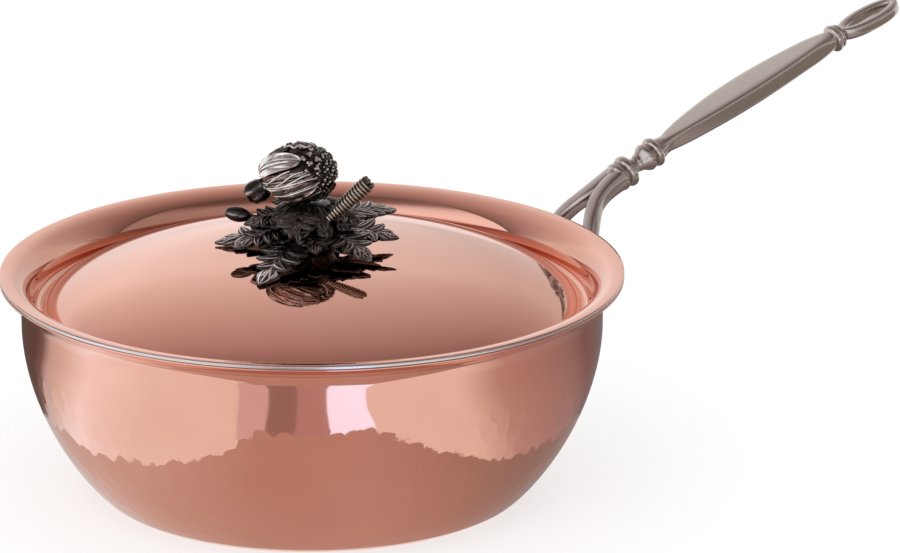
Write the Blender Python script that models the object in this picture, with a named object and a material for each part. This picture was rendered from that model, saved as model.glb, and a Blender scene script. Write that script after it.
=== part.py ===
"""A copper saute pan with a nested lid, a forked cast handle and a leaf-spray finial.

Metres, +Z up. The origin is the centre of the pan's flat base and the handle runs along +X.
"""

import math

import bmesh
import bpy
from mathutils import Matrix, Vector

# Pan body
RIM_RADIUS = 0.140
NECK_HEIGHT = 0.0869
FLARE_RADIUS = 0.0095
NECK_STRAIGHT = 0.0095
BASE_RADIUS = 0.0939
BELLY_FULLNESS = 1.84
BELLY_ROUNDING = 1.18
PAN_COPPER = 0.0024
PAN_LINING = 0.0011

# Lid
LID_COPPER = 0.0009
LID_LINING = 0.0004
SKIRT_RADIUS = 0.0024
VALLEY_WIDTH = 0.0019
DOME_HEIGHT = 0.0278
DOME_FULLNESS = 2.3
DOME_ROUNDING = 1.65
VALLEY_FILLET = 0.0015

# Handle
HANDLE_OFFSET = 0.0330
HANDLE_RISE = 0.0166
HANDLE_LENGTH = 0.132
HANDLE_SLOPE_LOW = math.radians(23.8)
HANDLE_SLOPE_HIGH = math.radians(16.9)
GRIP_START = 0.0235
GRIP_END = 0.1275
GRIP_WIDTH = 0.0190
GRIP_THICKNESS = 0.0092
GRIP_ROOT_RADIUS = 0.0036
GRIP_TIP_RADIUS = 0.0046
GRIP_SQUARENESS = 8.0
COLLAR_RADIUS = 0.0076
END_COLLAR_RADIUS = 0.0065
END_COLLAR_LENGTH = 0.0074
LOOP_LENGTH = 0.0352
LOOP_OVERLAP = 0.0014
LOOP_WIDTH = 0.0170
LOOP_BAR = 0.0042
LOOP_THICKNESS = 0.0060
LOOP_SLOPE = math.radians(17.5)
LEG_WIDTH = 0.0064
LEG_THICKNESS = 0.0056
LEG_TAPER = 1.36
LEG_SQUARENESS = 2.4
LEG_SPREAD_AT_RIM = 0.0122
LEG_RIM_CLEARANCE = 0.0022
LEG_KNEE_DROP = 0.0040
LEG_LEAN = (0.0050, 0.0042, 0.0085)
FORK_START = 0.0040
FORK_LENGTH = 0.0180
FORK_SPREAD = 0.0022
FOOT_ANGLE = math.radians(7.5)
FOOT_WIDTH = 0.0250
FOOT_HEIGHT = 0.0150
FOOT_THICKNESS = 0.0040
FOOT_DROP = 0.0079

# Handle rivets
RIVET_SPREAD = math.radians(3.75)
RIVET_SHANK_RADIUS = 0.0024
RIVET_HEAD_RADIUS = 0.0044
RIVET_HEAD_HEIGHT = 0.0020

# Finial
PHOTO_TURN = math.radians(-35.0)
BOSS_RADIUS = 0.0130
BOSS_FOOT_RADIUS = 0.0105
BOSS_TOP_RADIUS = 0.0080
BOSS_BULGE_HEIGHT = 0.0100
BOSS_SHOULDER_RADIUS = 0.0108
BOSS_SHOULDER_DROP = 0.0030
BOSS_WAIST_RADIUS = 0.0095
BOSS_WAIST_HEIGHT = 0.0030
GLOBE_RADII = (0.0172, 0.0162, 0.0136)
GLOBE_SHIFT = (-0.0050, 0.0)
GLOBE_CENTRE_HEIGHT = 0.0343
BRACT_RELIEF = 0.0009
LEAF_REACH = 0.0400
LEAF_WIDTH = 0.0200
LEAF_RISE = 0.0100
LEAF_THICKNESS = 0.0012
LEAF_TIP_HALF_WIDTH = 0.0004
LEAF_NOTCH = 0.5
LEAF_SWEEP = 0.7
LEAF_CUP = 0.18
LEAF_POINT = 0.10
ROOT_TIP = (0.0048, -0.0144, 0.0142)
ROOT_CROWN = (0.0268, -0.0080, 0.0330)
ROOT_RADIUS = 0.0038
ROOT_TIP_RADIUS = 0.0013
ROOT_RIBS = 11
ROOT_RIB_DEPTH = 0.0005
POD_RADIUS = 0.0056
POD_LENGTH = 0.0115
POD_DIRECTION = (-0.84, 0.20, -0.44)
BUD_REACH = 0.0390
BUD_TIP_HEIGHT = 0.0158
BUD_RADIUS = 0.0037
BUD_LENGTH = 0.0120
BUD_STALK_RADIUS = 0.0013
STUD_RADIUS = 0.0030
STUD_GRIP_IN_BOSS = 0.0080
WASHER_RADIUS = 0.0085
WASHER_THICKNESS = 0.0012
NUT_ACROSS_FLATS = 0.0100
NUT_HEIGHT = 0.0050
STUD_TAIL = 0.0015

# Clearances and mesh fineness
GAP = 0.0003
HOLE_CLEARANCE = 0.0003
SEGMENTS = 36
BELLY_STEPS = 8
ARC_STEPS = 3
DOME_STEPS = 6

# Sizes that follow from the ones above
NECK_RADIUS = RIM_RADIUS - FLARE_RADIUS
BELLY_HEIGHT = NECK_HEIGHT - NECK_STRAIGHT
LINING_OUTSIDE = PAN_COPPER + GAP
LINING_INSIDE = LINING_OUTSIDE + PAN_LINING
LID_UNDERSIDE = LINING_INSIDE + GAP
LID_TOP = LID_UNDERSIDE + LID_LINING + GAP + LID_COPPER
RIM_TOP = NECK_HEIGHT + FLARE_RADIUS + LINING_INSIDE
SKIRT_CENTRE_RADIUS = NECK_RADIUS - LID_TOP - SKIRT_RADIUS
DOME_RADIUS = SKIRT_CENTRE_RADIUS - VALLEY_WIDTH
VALLEY_HEIGHT = NECK_HEIGHT - SKIRT_RADIUS
APEX_HEIGHT = VALLEY_HEIGHT + DOME_HEIGHT
FACET_FACTOR = math.cos(math.pi / SEGMENTS)
HOLE_RADIUS = STUD_RADIUS + HOLE_CLEARANCE
HANDLE_FOOT_X = RIM_RADIUS + HANDLE_OFFSET
FOOT_CENTRE_Z = NECK_HEIGHT - FOOT_DROP
GLOBE_CENTRE = Vector((*GLOBE_SHIFT, GLOBE_CENTRE_HEIGHT))
ROUND = 2.0


def clear_scene():
    for old in list(bpy.data.objects):
        bpy.data.objects.remove(old)


def material(name, colour, roughness, metallic=1.0):
    made = bpy.data.materials.new(name)
    made.use_nodes = True
    shader = made.node_tree.nodes["Principled BSDF"]
    shader.inputs["Base Color"].default_value = (*colour, 1.0)
    shader.inputs["Roughness"].default_value = roughness
    shader.inputs["Metallic"].default_value = metallic
    made.diffuse_color = (*colour, 1.0)
    return made


def add_object(name, bm, surface, parent=None, smooth_angle=35.0):
    """Turn a bmesh into an object with outward faces, one material and smooth shading."""
    bmesh.ops.recalc_face_normals(bm, faces=bm.faces)
    mesh = bpy.data.meshes.new(name)
    bm.to_mesh(mesh)
    bm.free()
    mesh.shade_smooth()
    mesh.set_sharp_from_angle(angle=math.radians(smooth_angle))
    mesh.materials.append(surface)
    made = bpy.data.objects.new(name, mesh)
    bpy.context.scene.collection.objects.link(made)
    if parent is not None:
        made.parent = parent
        made.matrix_parent_inverse = parent.matrix_world.inverted()
    return made


def hide_helper(helper):
    helper.hide_render = True
    helper.display_type = "WIRE"
    return helper


def cut(target, tool, operation="DIFFERENCE"):
    modifier = target.modifiers.new(f"{operation.lower()} {tool.name}", "BOOLEAN")
    modifier.object = tool
    modifier.operation = operation
    modifier.solver = "EXACT"


def arc(centre, radius, start, end, steps):
    """Points (r, z) on an arc, angles in degrees from +r towards +z."""
    points = []
    for step in range(steps + 1):
        angle = math.radians(start + (end - start) * step / steps)
        points.append((centre[0] + radius * math.cos(angle), centre[1] + radius * math.sin(angle)))
    return points


def turned_mesh(profile, closed, segments=SEGMENTS):
    """Spin a profile of (r, z) round Z. An open profile gets flat end faces, or ends on the axis."""
    bm = bmesh.new()
    verts = [bm.verts.new((r, 0.0, z)) for r, z in profile]
    edges = [bm.edges.new(pair) for pair in zip(verts, verts[1:])]
    if closed:
        edges.append(bm.edges.new((verts[-1], verts[0])))
    bmesh.ops.spin(
        bm,
        geom=verts + edges,
        cent=(0.0, 0.0, 0.0),
        axis=(0.0, 0.0, 1.0),
        angle=2.0 * math.pi,
        steps=segments,
    )
    bmesh.ops.remove_doubles(bm, verts=bm.verts, dist=1e-6)
    open_edges = [edge for edge in bm.edges if edge.is_boundary]
    if open_edges:
        bmesh.ops.holes_fill(bm, edges=open_edges, sides=0)
    return bm


def aim(bm, origin, direction):
    """Lay a shape that was built up +Z along a direction, from an origin."""
    turn = Vector((0.0, 0.0, 1.0)).rotation_difference(Vector(direction).normalized())
    bmesh.ops.transform(bm, matrix=Matrix.Translation(origin) @ turn.to_matrix().to_4x4(), verts=bm.verts)
    return bm


def loft_mesh(rings, closed=False):
    """Join rings of equal length with faces; the two ends are capped unless the loft is closed."""
    bm = bmesh.new()
    layers = [[bm.verts.new(point) for point in ring] for ring in rings]
    count = len(layers[0])
    pairs = list(zip(layers, layers[1:]))
    if closed:
        pairs.append((layers[-1], layers[0]))
    for low, high in pairs:
        for k in range(count):
            n = (k + 1) % count
            bm.faces.new((low[k], low[n], high[n], high[k]))
    if not closed:
        bm.faces.new(list(reversed(layers[0])))
        bm.faces.new(layers[-1])
    return bm


def section(centre, side, up, half_width, half_height, squareness, count=16):
    """A ring of points: an ellipse at squareness 2, nearer to a rectangle above it."""
    ring = []
    for k in range(count):
        angle = 2.0 * math.pi * (k + 0.5) / count
        across = math.copysign(abs(math.cos(angle)) ** (2.0 / squareness), math.cos(angle))
        upward = math.copysign(abs(math.sin(angle)) ** (2.0 / squareness), math.sin(angle))
        ring.append(centre + side * (half_width * across) + up * (half_height * upward))
    return ring


def bezier(a, b, c, d, t):
    s = 1.0 - t
    return a * s**3 + b * (3.0 * s * s * t) + c * (3.0 * s * t * t) + d * t**3


def belly_point(t):
    """The bowl's outer wall, from the base edge at t = 0 to its widest height at t = 1."""
    reach = (1.0 - (1.0 - t) ** BELLY_FULLNESS) ** (1.0 / BELLY_ROUNDING)
    return BASE_RADIUS + (NECK_RADIUS - BASE_RADIUS) * reach, t * BELLY_HEIGHT


def pan_skin(depth):
    """The pan's wall at a depth below its outer surface, from the base to the rim."""
    points = [(BASE_RADIUS, depth)]
    for step in range(1, BELLY_STEPS):
        t = (step / BELLY_STEPS) ** 1.4
        radius, height = belly_point(t)
        next_radius, next_height = belly_point(t + 0.001)
        along = Vector((next_radius - radius, next_height - height)).normalized()
        points.append((radius - along.y * depth, height + along.x * depth))
    points.append((NECK_RADIUS - depth, BELLY_HEIGHT))
    points += arc((RIM_RADIUS, NECK_HEIGHT), FLARE_RADIUS + depth, 180.0, 90.0, ARC_STEPS)
    return points


def radius_at(profile, height):
    """The radius of a turned outside at a height, from its profile of (r, z)."""
    for (low_r, low_z), (high_r, high_z) in zip(profile, profile[1:]):
        if low_z <= height <= high_z and high_z > low_z:
            return low_r + (high_r - low_r) * (height - low_z) / (high_z - low_z)
    return profile[-1][0]


def dome_point(angle):
    """The lid's dome, from its apex at 0 to its foot at a quarter turn."""
    reach = math.sin(angle) ** (2.0 / DOME_FULLNESS)
    return DOME_RADIUS * reach, VALLEY_HEIGHT + DOME_HEIGHT * math.cos(angle) ** (2.0 / DOME_ROUNDING)


def lid_skin(depth):
    """The lid at a depth below its top surface, from the rim in to the stud's hole."""
    flange = FLARE_RADIUS + LID_TOP - depth
    skirt_centre = (SKIRT_CENTRE_RADIUS, NECK_HEIGHT)
    foot_angle = math.acos((VALLEY_FILLET / DOME_HEIGHT) ** (DOME_ROUNDING / 2.0))
    fillet_centre = (dome_point(foot_angle)[0] + VALLEY_FILLET, VALLEY_HEIGHT + VALLEY_FILLET)
    points = arc((RIM_RADIUS, NECK_HEIGHT), flange, 90.0, 180.0, ARC_STEPS)
    points += arc(skirt_centre, SKIRT_RADIUS + depth, 0.0, -90.0, ARC_STEPS - 1)[1:]
    points += arc(fillet_centre, VALLEY_FILLET + depth, 270.0, 180.0, 2)
    for step in range(1, DOME_STEPS):
        angle = foot_angle * (1.0 - step / DOME_STEPS)
        radius, height = dome_point(angle)
        next_radius, next_height = dome_point(angle - 0.001)
        along = Vector((next_radius - radius, next_height - height)).normalized()
        points.append((radius - along.y * depth, height + along.x * depth))
    points.append((HOLE_RADIUS, APEX_HEIGHT - depth))
    return points


def radial(angle):
    return Vector((math.cos(angle), math.sin(angle), 0.0))


def rivet_angles():
    """The four rivets' angles round the pan, two to each foot."""
    return [side * FOOT_ANGLE + step * RIVET_SPREAD for side in (-1, 1) for step in (-1, 1)]


def rivet_hole_cutter():
    bm = bmesh.new()
    for angle in rivet_angles():
        start = radial(angle) * (NECK_RADIUS - 4.0 * LINING_INSIDE) + Vector((0.0, 0.0, FOOT_CENTRE_Z))
        made = bmesh.ops.create_cone(
            bm,
            cap_ends=True,
            segments=12,
            radius1=RIVET_SHANK_RADIUS + HOLE_CLEARANCE,
            radius2=RIVET_SHANK_RADIUS + HOLE_CLEARANCE,
            depth=12.0 * LINING_INSIDE,
        )
        turn = Vector((0.0, 0.0, 1.0)).rotation_difference(radial(angle))
        place = Matrix.Translation(start) @ turn.to_matrix().to_4x4()
        bmesh.ops.transform(bm, matrix=place, verts=made["verts"])
    return bm


def add_pan(copper, steel, rivet_holes):
    shell = add_object("pan_shell", turned_mesh(pan_skin(0.0) + pan_skin(PAN_COPPER)[::-1], False), copper)
    inside = pan_skin(LINING_OUTSIDE) + pan_skin(LINING_INSIDE)[::-1]
    lining = add_object("pan_lining", turned_mesh(inside, False), steel)
    cut(shell, rivet_holes)
    cut(lining, rivet_holes)


def spine_point(s):
    """The handle's axis at a length s past the lower collar: a shallow arc in the XZ plane."""
    steps = 24
    x, z = HANDLE_FOOT_X, RIM_TOP + HANDLE_RISE
    for step in range(steps):
        middle = s * (step + 0.5) / steps
        slope = HANDLE_SLOPE_LOW + (HANDLE_SLOPE_HIGH - HANDLE_SLOPE_LOW) * middle / HANDLE_LENGTH
        x += math.cos(slope) * s / steps
        z += math.sin(slope) * s / steps
    slope = HANDLE_SLOPE_LOW + (HANDLE_SLOPE_HIGH - HANDLE_SLOPE_LOW) * s / HANDLE_LENGTH
    return Vector((x, 0.0, z)), slope


def spine_mesh():
    """The turned collars, the vase and the faceted grip, lofted along the axis.

    A turning is a length past the lower collar and a radius, as shares of the grip's start and the
    collar's radius.
    """
    turnings = [
        (-0.53, 0.53),
        (-0.36, 0.72),
        (-0.24, 0.80),
        (-0.18, 0.92),
        (-0.07, 0.92),
        (-0.02, 0.80),
        (0.03, 1.00),
        (0.13, 1.00),
        (0.18, 0.66),
        (0.28, 0.50),
        (0.43, 0.66),
        (0.56, 0.83),
        (0.65, 0.74),
        (0.69, 0.93),
        (0.78, 0.93),
        (0.83, 0.79),
        (0.87, 0.88),
        (0.94, 0.85),
    ]
    end_collar = [
        (0.0, 0.91),
        (0.11, 1.00),
        (0.41, 1.00),
        (0.52, 0.83),
        (0.62, 0.89),
        (0.84, 0.86),
        (1.0, 0.63),
    ]
    across = Vector((0.0, 1.0, 0.0))
    rings = []

    def add_ring(s, half_width, half_height, squareness):
        centre, slope = spine_point(s)
        up = Vector((-math.sin(slope), 0.0, math.cos(slope)))
        rings.append(section(centre, across, up, half_width, half_height, squareness))

    for share, girth in turnings:
        add_ring(share * GRIP_START, girth * COLLAR_RADIUS, girth * COLLAR_RADIUS, ROUND)
    grip_steps = 10
    for step in range(grip_steps + 1):
        t = step / grip_steps
        swell = math.sin(math.pi * t)
        end = GRIP_ROOT_RADIUS + (GRIP_TIP_RADIUS - GRIP_ROOT_RADIUS) * t
        half_width = end + (GRIP_WIDTH / 2.0 - end) * swell
        half_height = end + (GRIP_THICKNESS / 2.0 - end) * swell
        add_ring(GRIP_START + (GRIP_END - GRIP_START) * t, half_width, half_height, GRIP_SQUARENESS)
    for share, girth in end_collar:
        radius = girth * END_COLLAR_RADIUS
        add_ring(GRIP_END + share * END_COLLAR_LENGTH, radius, radius, ROUND)
    return loft_mesh(rings)


def loop_mesh():
    """The hanging loop: a flat oval eye with a rectangular bar, tilted a little below the grip."""
    root, _ = spine_point(GRIP_END + END_COLLAR_LENGTH - LOOP_OVERLAP)
    along = Vector((math.cos(LOOP_SLOPE), 0.0, math.sin(LOOP_SLOPE)))
    across = Vector((0.0, 1.0, 0.0))
    up = Vector((-math.sin(LOOP_SLOPE), 0.0, math.cos(LOOP_SLOPE)))
    centre = root + along * (LOOP_LENGTH / 2.0)
    rings = []
    steps = 20
    for step in range(steps):
        angle = 2.0 * math.pi * step / steps
        outward = (along * (math.cos(angle) * LOOP_WIDTH) + across * (math.sin(angle) * LOOP_LENGTH)).normalized()
        reach = along * (math.cos(angle) * (LOOP_LENGTH - LOOP_BAR) / 2.0)
        sideways = across * (math.sin(angle) * (LOOP_WIDTH - LOOP_BAR) / 2.0)
        rings.append(
            section(centre + reach + sideways, outward, up, LOOP_BAR / 2.0, LOOP_THICKNESS / 2.0, 3.0, count=8)
        )
    return loft_mesh(rings, closed=True)


def leg_mesh(side):
    """One leg of the fork, from the root under the lower collar down behind the rim to its foot."""
    outside = RIM_RADIUS + LEG_RIM_CLEARANCE + LEG_THICKNESS / 2.0
    spread = Vector((0.0, side * FORK_SPREAD, 0.0))
    start = spine_point(-FORK_START)[0] + spread
    past = spine_point(-FORK_START - FORK_LENGTH)[0] + spread
    foot = radial(side * FOOT_ANGLE) * (NECK_RADIUS + 0.6 * FOOT_THICKNESS)
    knee = Vector((outside, side * LEG_SPREAD_AT_RIM, RIM_TOP - LEG_KNEE_DROP))
    end = foot + Vector((0.0, 0.0, FOOT_CENTRE_Z + 0.07 * FOOT_HEIGHT))
    lean = Vector((-LEG_LEAN[0], side * LEG_LEAN[1], -LEG_LEAN[2]))
    over_foot = end + Vector((0.3 * FOOT_HEIGHT, 0.0, 0.4 * FOOT_HEIGHT))
    upper = (start, past, knee - lean, knee)
    lower = (knee, knee + 0.8 * lean, over_foot, end)
    upper_steps = 6
    lower_steps = 4
    points = [bezier(*upper, k / upper_steps) for k in range(upper_steps + 1)]
    points += [bezier(*lower, k / lower_steps) for k in range(1, lower_steps + 1)]
    rings = []
    for k, point in enumerate(points):
        girth = 1.0 + (LEG_TAPER - 1.0) * max(0.0, 1.0 - k / upper_steps)
        along = (points[min(k + 1, len(points) - 1)] - points[max(k - 1, 0)]).normalized()
        across = Vector((0.0, 1.0, 0.0))
        across = (across - along * across.dot(along)).normalized()
        up = across.cross(along)
        half_width = girth * LEG_WIDTH / 2.0
        half_height = girth * LEG_THICKNESS / 2.0
        rings.append(section(point, across, up, half_width, half_height, LEG_SQUARENESS, count=12))
    return loft_mesh(rings)


def foot_mesh(side):
    """The oval pad at the end of a leg, before it is trimmed to the pan's wall."""
    direction = radial(side * FOOT_ANGLE)
    across = Vector((0.0, 0.0, 1.0)).cross(direction)
    up = Vector((0.0, 0.0, 1.0))
    rings = []
    for distance in (NECK_RADIUS - FOOT_THICKNESS, NECK_RADIUS + 2.0 * FOOT_THICKNESS):
        centre = direction * distance + up * FOOT_CENTRE_Z
        rings.append(section(centre, across, up, FOOT_WIDTH / 2.0, FOOT_HEIGHT / 2.0, 2.6, count=20))
    return loft_mesh(rings)


def add_handle(iron, rivet_holes):
    """One casting: legs, feet and loop are united with the spine, then trimmed to the pan."""
    handle = add_object("handle", spine_mesh(), iron)
    foot_outside = NECK_RADIUS + GAP + FOOT_THICKNESS
    lowest = FOOT_CENTRE_Z - 2.0 * FOOT_HEIGHT
    outer = [(0.0, lowest), (foot_outside, lowest), (foot_outside, NECK_HEIGHT), (0.0, NECK_HEIGHT)]
    envelope = hide_helper(add_object("foot_envelope", turned_mesh(outer, False), iron))
    clearance_profile = [(0.0, -GAP)] + pan_skin(-GAP) + [(0.0, NECK_HEIGHT + FLARE_RADIUS)]
    clearance = hide_helper(add_object("pan_clearance", turned_mesh(clearance_profile, False), iron))
    cut(handle, hide_helper(add_object("loop_blank", loop_mesh(), iron)), "UNION")
    for name, side in (("right", -1), ("left", 1)):
        foot = hide_helper(add_object(f"foot_blank_{name}", foot_mesh(side), iron))
        cut(foot, envelope, "INTERSECT")
        leg = hide_helper(add_object(f"leg_blank_{name}", leg_mesh(side), iron))
        cut(handle, leg, "UNION")
        cut(handle, foot, "UNION")
    cut(handle, clearance)
    cut(handle, rivet_holes)


def add_rivets(iron):
    """Button heads on the feet outside, flatter heads on the lining inside."""
    lowest_wall = radius_at(pan_skin(0.0), FOOT_CENTRE_Z - RIVET_HEAD_RADIUS)
    inside = (lowest_wall - LINING_INSIDE) * FACET_FACTOR - GAP
    outside = (NECK_RADIUS + GAP + FOOT_THICKNESS) + GAP
    shank = RIVET_SHANK_RADIUS
    head = RIVET_HEAD_RADIUS
    for number, angle in enumerate(rivet_angles(), start=1):
        profile = [(0.0, inside - 0.7 * RIVET_HEAD_HEIGHT)]
        profile += [(0.6 * head, inside - 0.6 * RIVET_HEAD_HEIGHT), (head, inside - 0.15 * RIVET_HEAD_HEIGHT)]
        profile += [(head, inside), (shank, inside), (shank, outside), (head, outside)]
        profile += [(head, outside + 0.2 * RIVET_HEAD_HEIGHT)]
        profile += [(0.7 * head, outside + 0.75 * RIVET_HEAD_HEIGHT), (0.0, outside + RIVET_HEAD_HEIGHT)]
        bm = turned_mesh(profile, False, segments=12)
        aim(bm, Vector((0.0, 0.0, FOOT_CENTRE_Z)), radial(angle))
        add_object(f"handle_rivet_{number}", bm, iron)


def add_lid(copper, steel, lid):
    shell = lid_skin(0.0) + lid_skin(LID_COPPER)[::-1]
    add_object("lid_shell", turned_mesh(shell, True), copper, lid)
    lining = lid_skin(LID_COPPER + GAP) + lid_skin(LID_COPPER + GAP + LID_LINING)[::-1]
    add_object("lid_lining", turned_mesh(lining, True), steel, lid)


def finial_place(x, y, z):
    """A place above the dome's apex, with X to the right and Y away as the photograph sees it."""
    turned = Matrix.Rotation(PHOTO_TURN, 4, "Z") @ Vector((x, y, z))
    return turned + Vector((0.0, 0.0, APEX_HEIGHT))


def dome_drop(x, y):
    """How far the dome has fallen below its apex at a place beside the axis."""
    share = math.hypot(x, y) / DOME_RADIUS
    return DOME_HEIGHT * (1.0 - (1.0 - share**DOME_FULLNESS) ** (1.0 / DOME_ROUNDING))


def boss_outside():
    """The boss's outer profile, heights above the dome's apex, from its foot to the globe's seat."""
    top = GLOBE_CENTRE_HEIGHT - GLOBE_RADII[2] - GAP
    return [
        (BOSS_FOOT_RADIUS, GAP),
        (BOSS_WAIST_RADIUS, BOSS_WAIST_HEIGHT),
        (BOSS_RADIUS, BOSS_BULGE_HEIGHT),
        (BOSS_SHOULDER_RADIUS, top - BOSS_SHOULDER_DROP),
        (BOSS_TOP_RADIUS, top),
    ]


def leaf_mesh(azimuth, reach, width, start_height, tip_height, arch, roll, lobes):
    """A serrated leaf that springs from the boss: a cupped blade with a midrib and swept lobes."""
    boss = boss_outside()
    root = max(radius_at(boss, start_height), radius_at(boss, start_height + LEAF_THICKNESS)) + GAP
    length = reach - root
    direction = Vector((math.cos(azimuth), math.sin(azimuth), 0.0))
    across = Vector((-math.sin(azimuth) * math.cos(roll), math.cos(azimuth) * math.cos(roll), math.sin(roll)))
    stations = 2 * lobes + 2
    bm = bmesh.new()
    top = []
    bottom = []
    for k in range(stations + 1):
        t = k / stations
        envelope = 0.16 * (1.0 - t) + math.sin(math.pi * t**0.9)
        tooth = k % 2 == 1
        half = max(LEAF_TIP_HALF_WIDTH, 0.5 * width * envelope * (1.0 if tooth else LEAF_NOTCH))
        sweep = LEAF_SWEEP * length / stations * math.sqrt(1.0 - t) if tooth else 0.0
        middle = direction * (root + length * (t + LEAF_POINT * t**8))
        middle.z = start_height + (tip_height - start_height) * t + arch * math.sin(math.pi * t)
        for side in (-1.0, 0.0, 1.0):
            point = middle + across * (side * half) + direction * (sweep * abs(side))
            point.z += LEAF_CUP * half * (abs(side) - 0.5)
            low = max(point.z, 2.0 * GAP - dome_drop(point.x, point.y))
            top.append(bm.verts.new(finial_place(point.x, point.y, low + LEAF_THICKNESS)))
            bottom.append(bm.verts.new(finial_place(point.x, point.y, low)))
    for k in range(stations):
        here = 3 * k
        ahead = here + 3
        for n in range(2):
            bm.faces.new((top[here + n], top[ahead + n], top[ahead + n + 1], top[here + n + 1]))
            bm.faces.new((bottom[here + n], bottom[here + n + 1], bottom[ahead + n + 1], bottom[ahead + n]))
        bm.faces.new((top[here], bottom[here], bottom[ahead], top[ahead]))
        bm.faces.new((top[here + 2], top[ahead + 2], bottom[ahead + 2], bottom[here + 2]))
    for n in range(2):
        bm.faces.new((top[n], top[n + 1], bottom[n + 1], bottom[n]))
        last = 3 * stations + n
        bm.faces.new((top[last], bottom[last], bottom[last + 1], top[last + 1]))
    return bm


def add_leaves(silver, lid):
    """Leaves in two tiers round the boss, as the photograph shows them and the same way behind.

    Each has its azimuth seen from above in degrees, its tip's reach and its width as shares of the
    common ones, the heights of its root and tip and its arch as shares of the common rise, its roll
    in degrees and its number of lobes.
    """
    leaves = {
        "leaf_left": (172, 1.03, 1.10, 0.45, -0.06, 0.14, -14, 3),
        "leaf_left_front": (207, 0.91, 1.00, 1.05, 0.40, 0.10, -10, 3),
        "leaf_front": (247, 1.325, 1.05, 0.50, -0.24, 0.22, 0, 4),
        "leaf_front_small": (274, 0.71, 0.60, 0.85, 0.50, 0.08, 0, 2),
        "leaf_right_front": (310, 0.98, 1.05, 0.80, 0.25, 0.25, 6, 3),
        "leaf_right": (345, 0.95, 0.95, 0.75, 0.66, 0.14, 14, 3),
        "leaf_back_right": (31, 1.03, 0.95, 1.20, 1.00, 0.16, 8, 3),
        "leaf_back": (70, 0.91, 1.00, 0.65, 0.10, 0.16, 0, 3),
        "leaf_back_left": (122, 0.96, 0.95, 0.65, 0.10, 0.16, 0, 3),
        "leaf_upper_left": (192, 0.73, 0.76, 1.50, 1.18, 0.10, -16, 2),
        "leaf_upper_front": (252, 0.70, 1.10, 1.78, 1.22, 0.12, 0, 3),
        "leaf_upper_right": (332, 0.59, 0.72, 1.50, 1.42, 0.08, 6, 2),
        "leaf_upper_back": (60, 0.64, 0.80, 1.60, 1.40, 0.10, 0, 2),
        "leaf_upper_back_left": (125, 0.64, 0.80, 1.60, 1.40, 0.10, 0, 2),
    }
    for name, (azimuth, reach, width, start, tip, arch, roll, lobes) in leaves.items():
        blade = leaf_mesh(
            math.radians(azimuth),
            reach * LEAF_REACH,
            width * LEAF_WIDTH,
            start * LEAF_RISE,
            tip * LEAF_RISE,
            arch * LEAF_RISE,
            math.radians(roll),
            lobes,
        )
        add_object(name, blade, silver, lid)


def add_boss(silver, lid):
    """The core of the spray: a turned lump that stands on the dome and takes the stud."""
    socket = STUD_GRIP_IN_BOSS + GAP
    outside = boss_outside()
    profile = [(0.0, socket), (HOLE_RADIUS, socket), (HOLE_RADIUS, GAP)] + outside + [(0.0, outside[-1][1])]
    bm = turned_mesh([(r, z + APEX_HEIGHT) for r, z in profile], False, segments=20)
    add_object("finial_boss", bm, silver, lid)


def globe_mesh():
    """The vegetable head: a flattened ball wrapped in staggered rows of low bracts."""
    around = 24
    up = 13
    rows = 4
    bm = bmesh.new()
    rings = []
    for k in range(1, up):
        latitude = math.pi * k / up
        ring = []
        for n in range(around):
            turn = 2.0 * math.pi * n / around
            row = math.floor(rows * k / up)
            phase = 6.0 * n / around + 0.5 * (row % 2)
            ridge = 1.0 - 2.0 * abs((phase % 1.0) - 0.5)
            radial_add = BRACT_RELIEF * (ridge - 1.0)
            point = Vector(
                (
                    (GLOBE_RADII[0] + radial_add) * math.sin(latitude) * math.cos(turn),
                    (GLOBE_RADII[1] + radial_add) * math.sin(latitude) * math.sin(turn),
                    (GLOBE_RADII[2] + radial_add) * math.cos(latitude),
                )
            )
            ring.append(point)
        rings.append(ring)
    centre = GLOBE_CENTRE
    layers = [[bm.verts.new(finial_place(*(centre + point))) for point in ring] for ring in rings]
    for low, high in zip(layers, layers[1:]):
        for n in range(around):
            m = (n + 1) % around
            bm.faces.new((low[n], low[m], high[m], high[n]))
    north = bm.verts.new(finial_place(*(centre + Vector((0.0, 0.0, GLOBE_RADII[2])))))
    south = bm.verts.new(finial_place(*(centre - Vector((0.0, 0.0, GLOBE_RADII[2])))))
    for n in range(around):
        m = (n + 1) % around
        bm.faces.new((north, layers[0][m], layers[0][n]))
        bm.faces.new((south, layers[-1][n], layers[-1][m]))
    return bm


def finial_turned(name, profile, start, end, surface, parent, segments=10):
    """A shape turned round a line of the spray: profile (r, distance along it)."""
    bm = turned_mesh(profile, False, segments=segments)
    origin = finial_place(*start)
    aim(bm, origin, finial_place(*end) - origin)
    return add_object(name, bm, surface, parent)


def add_root(silver, lid):
    """The ribbed root: thin tip low by the boss, stubby crown up on the right."""
    tip = Vector(ROOT_TIP)
    crown = Vector(ROOT_CROWN)
    length = (crown - tip).length
    profile = [(0.0, 0.0), (0.7 * ROOT_TIP_RADIUS, 0.0)]
    for rib in range(ROOT_RIBS):
        share = (rib + 0.5) / ROOT_RIBS
        radius = ROOT_TIP_RADIUS + (ROOT_RADIUS - ROOT_TIP_RADIUS) * math.sin(0.5 * math.pi * min(1.0, 1.15 * share))
        profile.append((radius, 0.94 * length * share))
        profile.append((radius - ROOT_RIB_DEPTH, 0.94 * length * (share + 0.5 / ROOT_RIBS)))
    profile += [(0.6 * ROOT_RADIUS, length), (0.0, length)]
    finial_turned("ribbed_root", profile, tip, crown, silver, lid)


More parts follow.
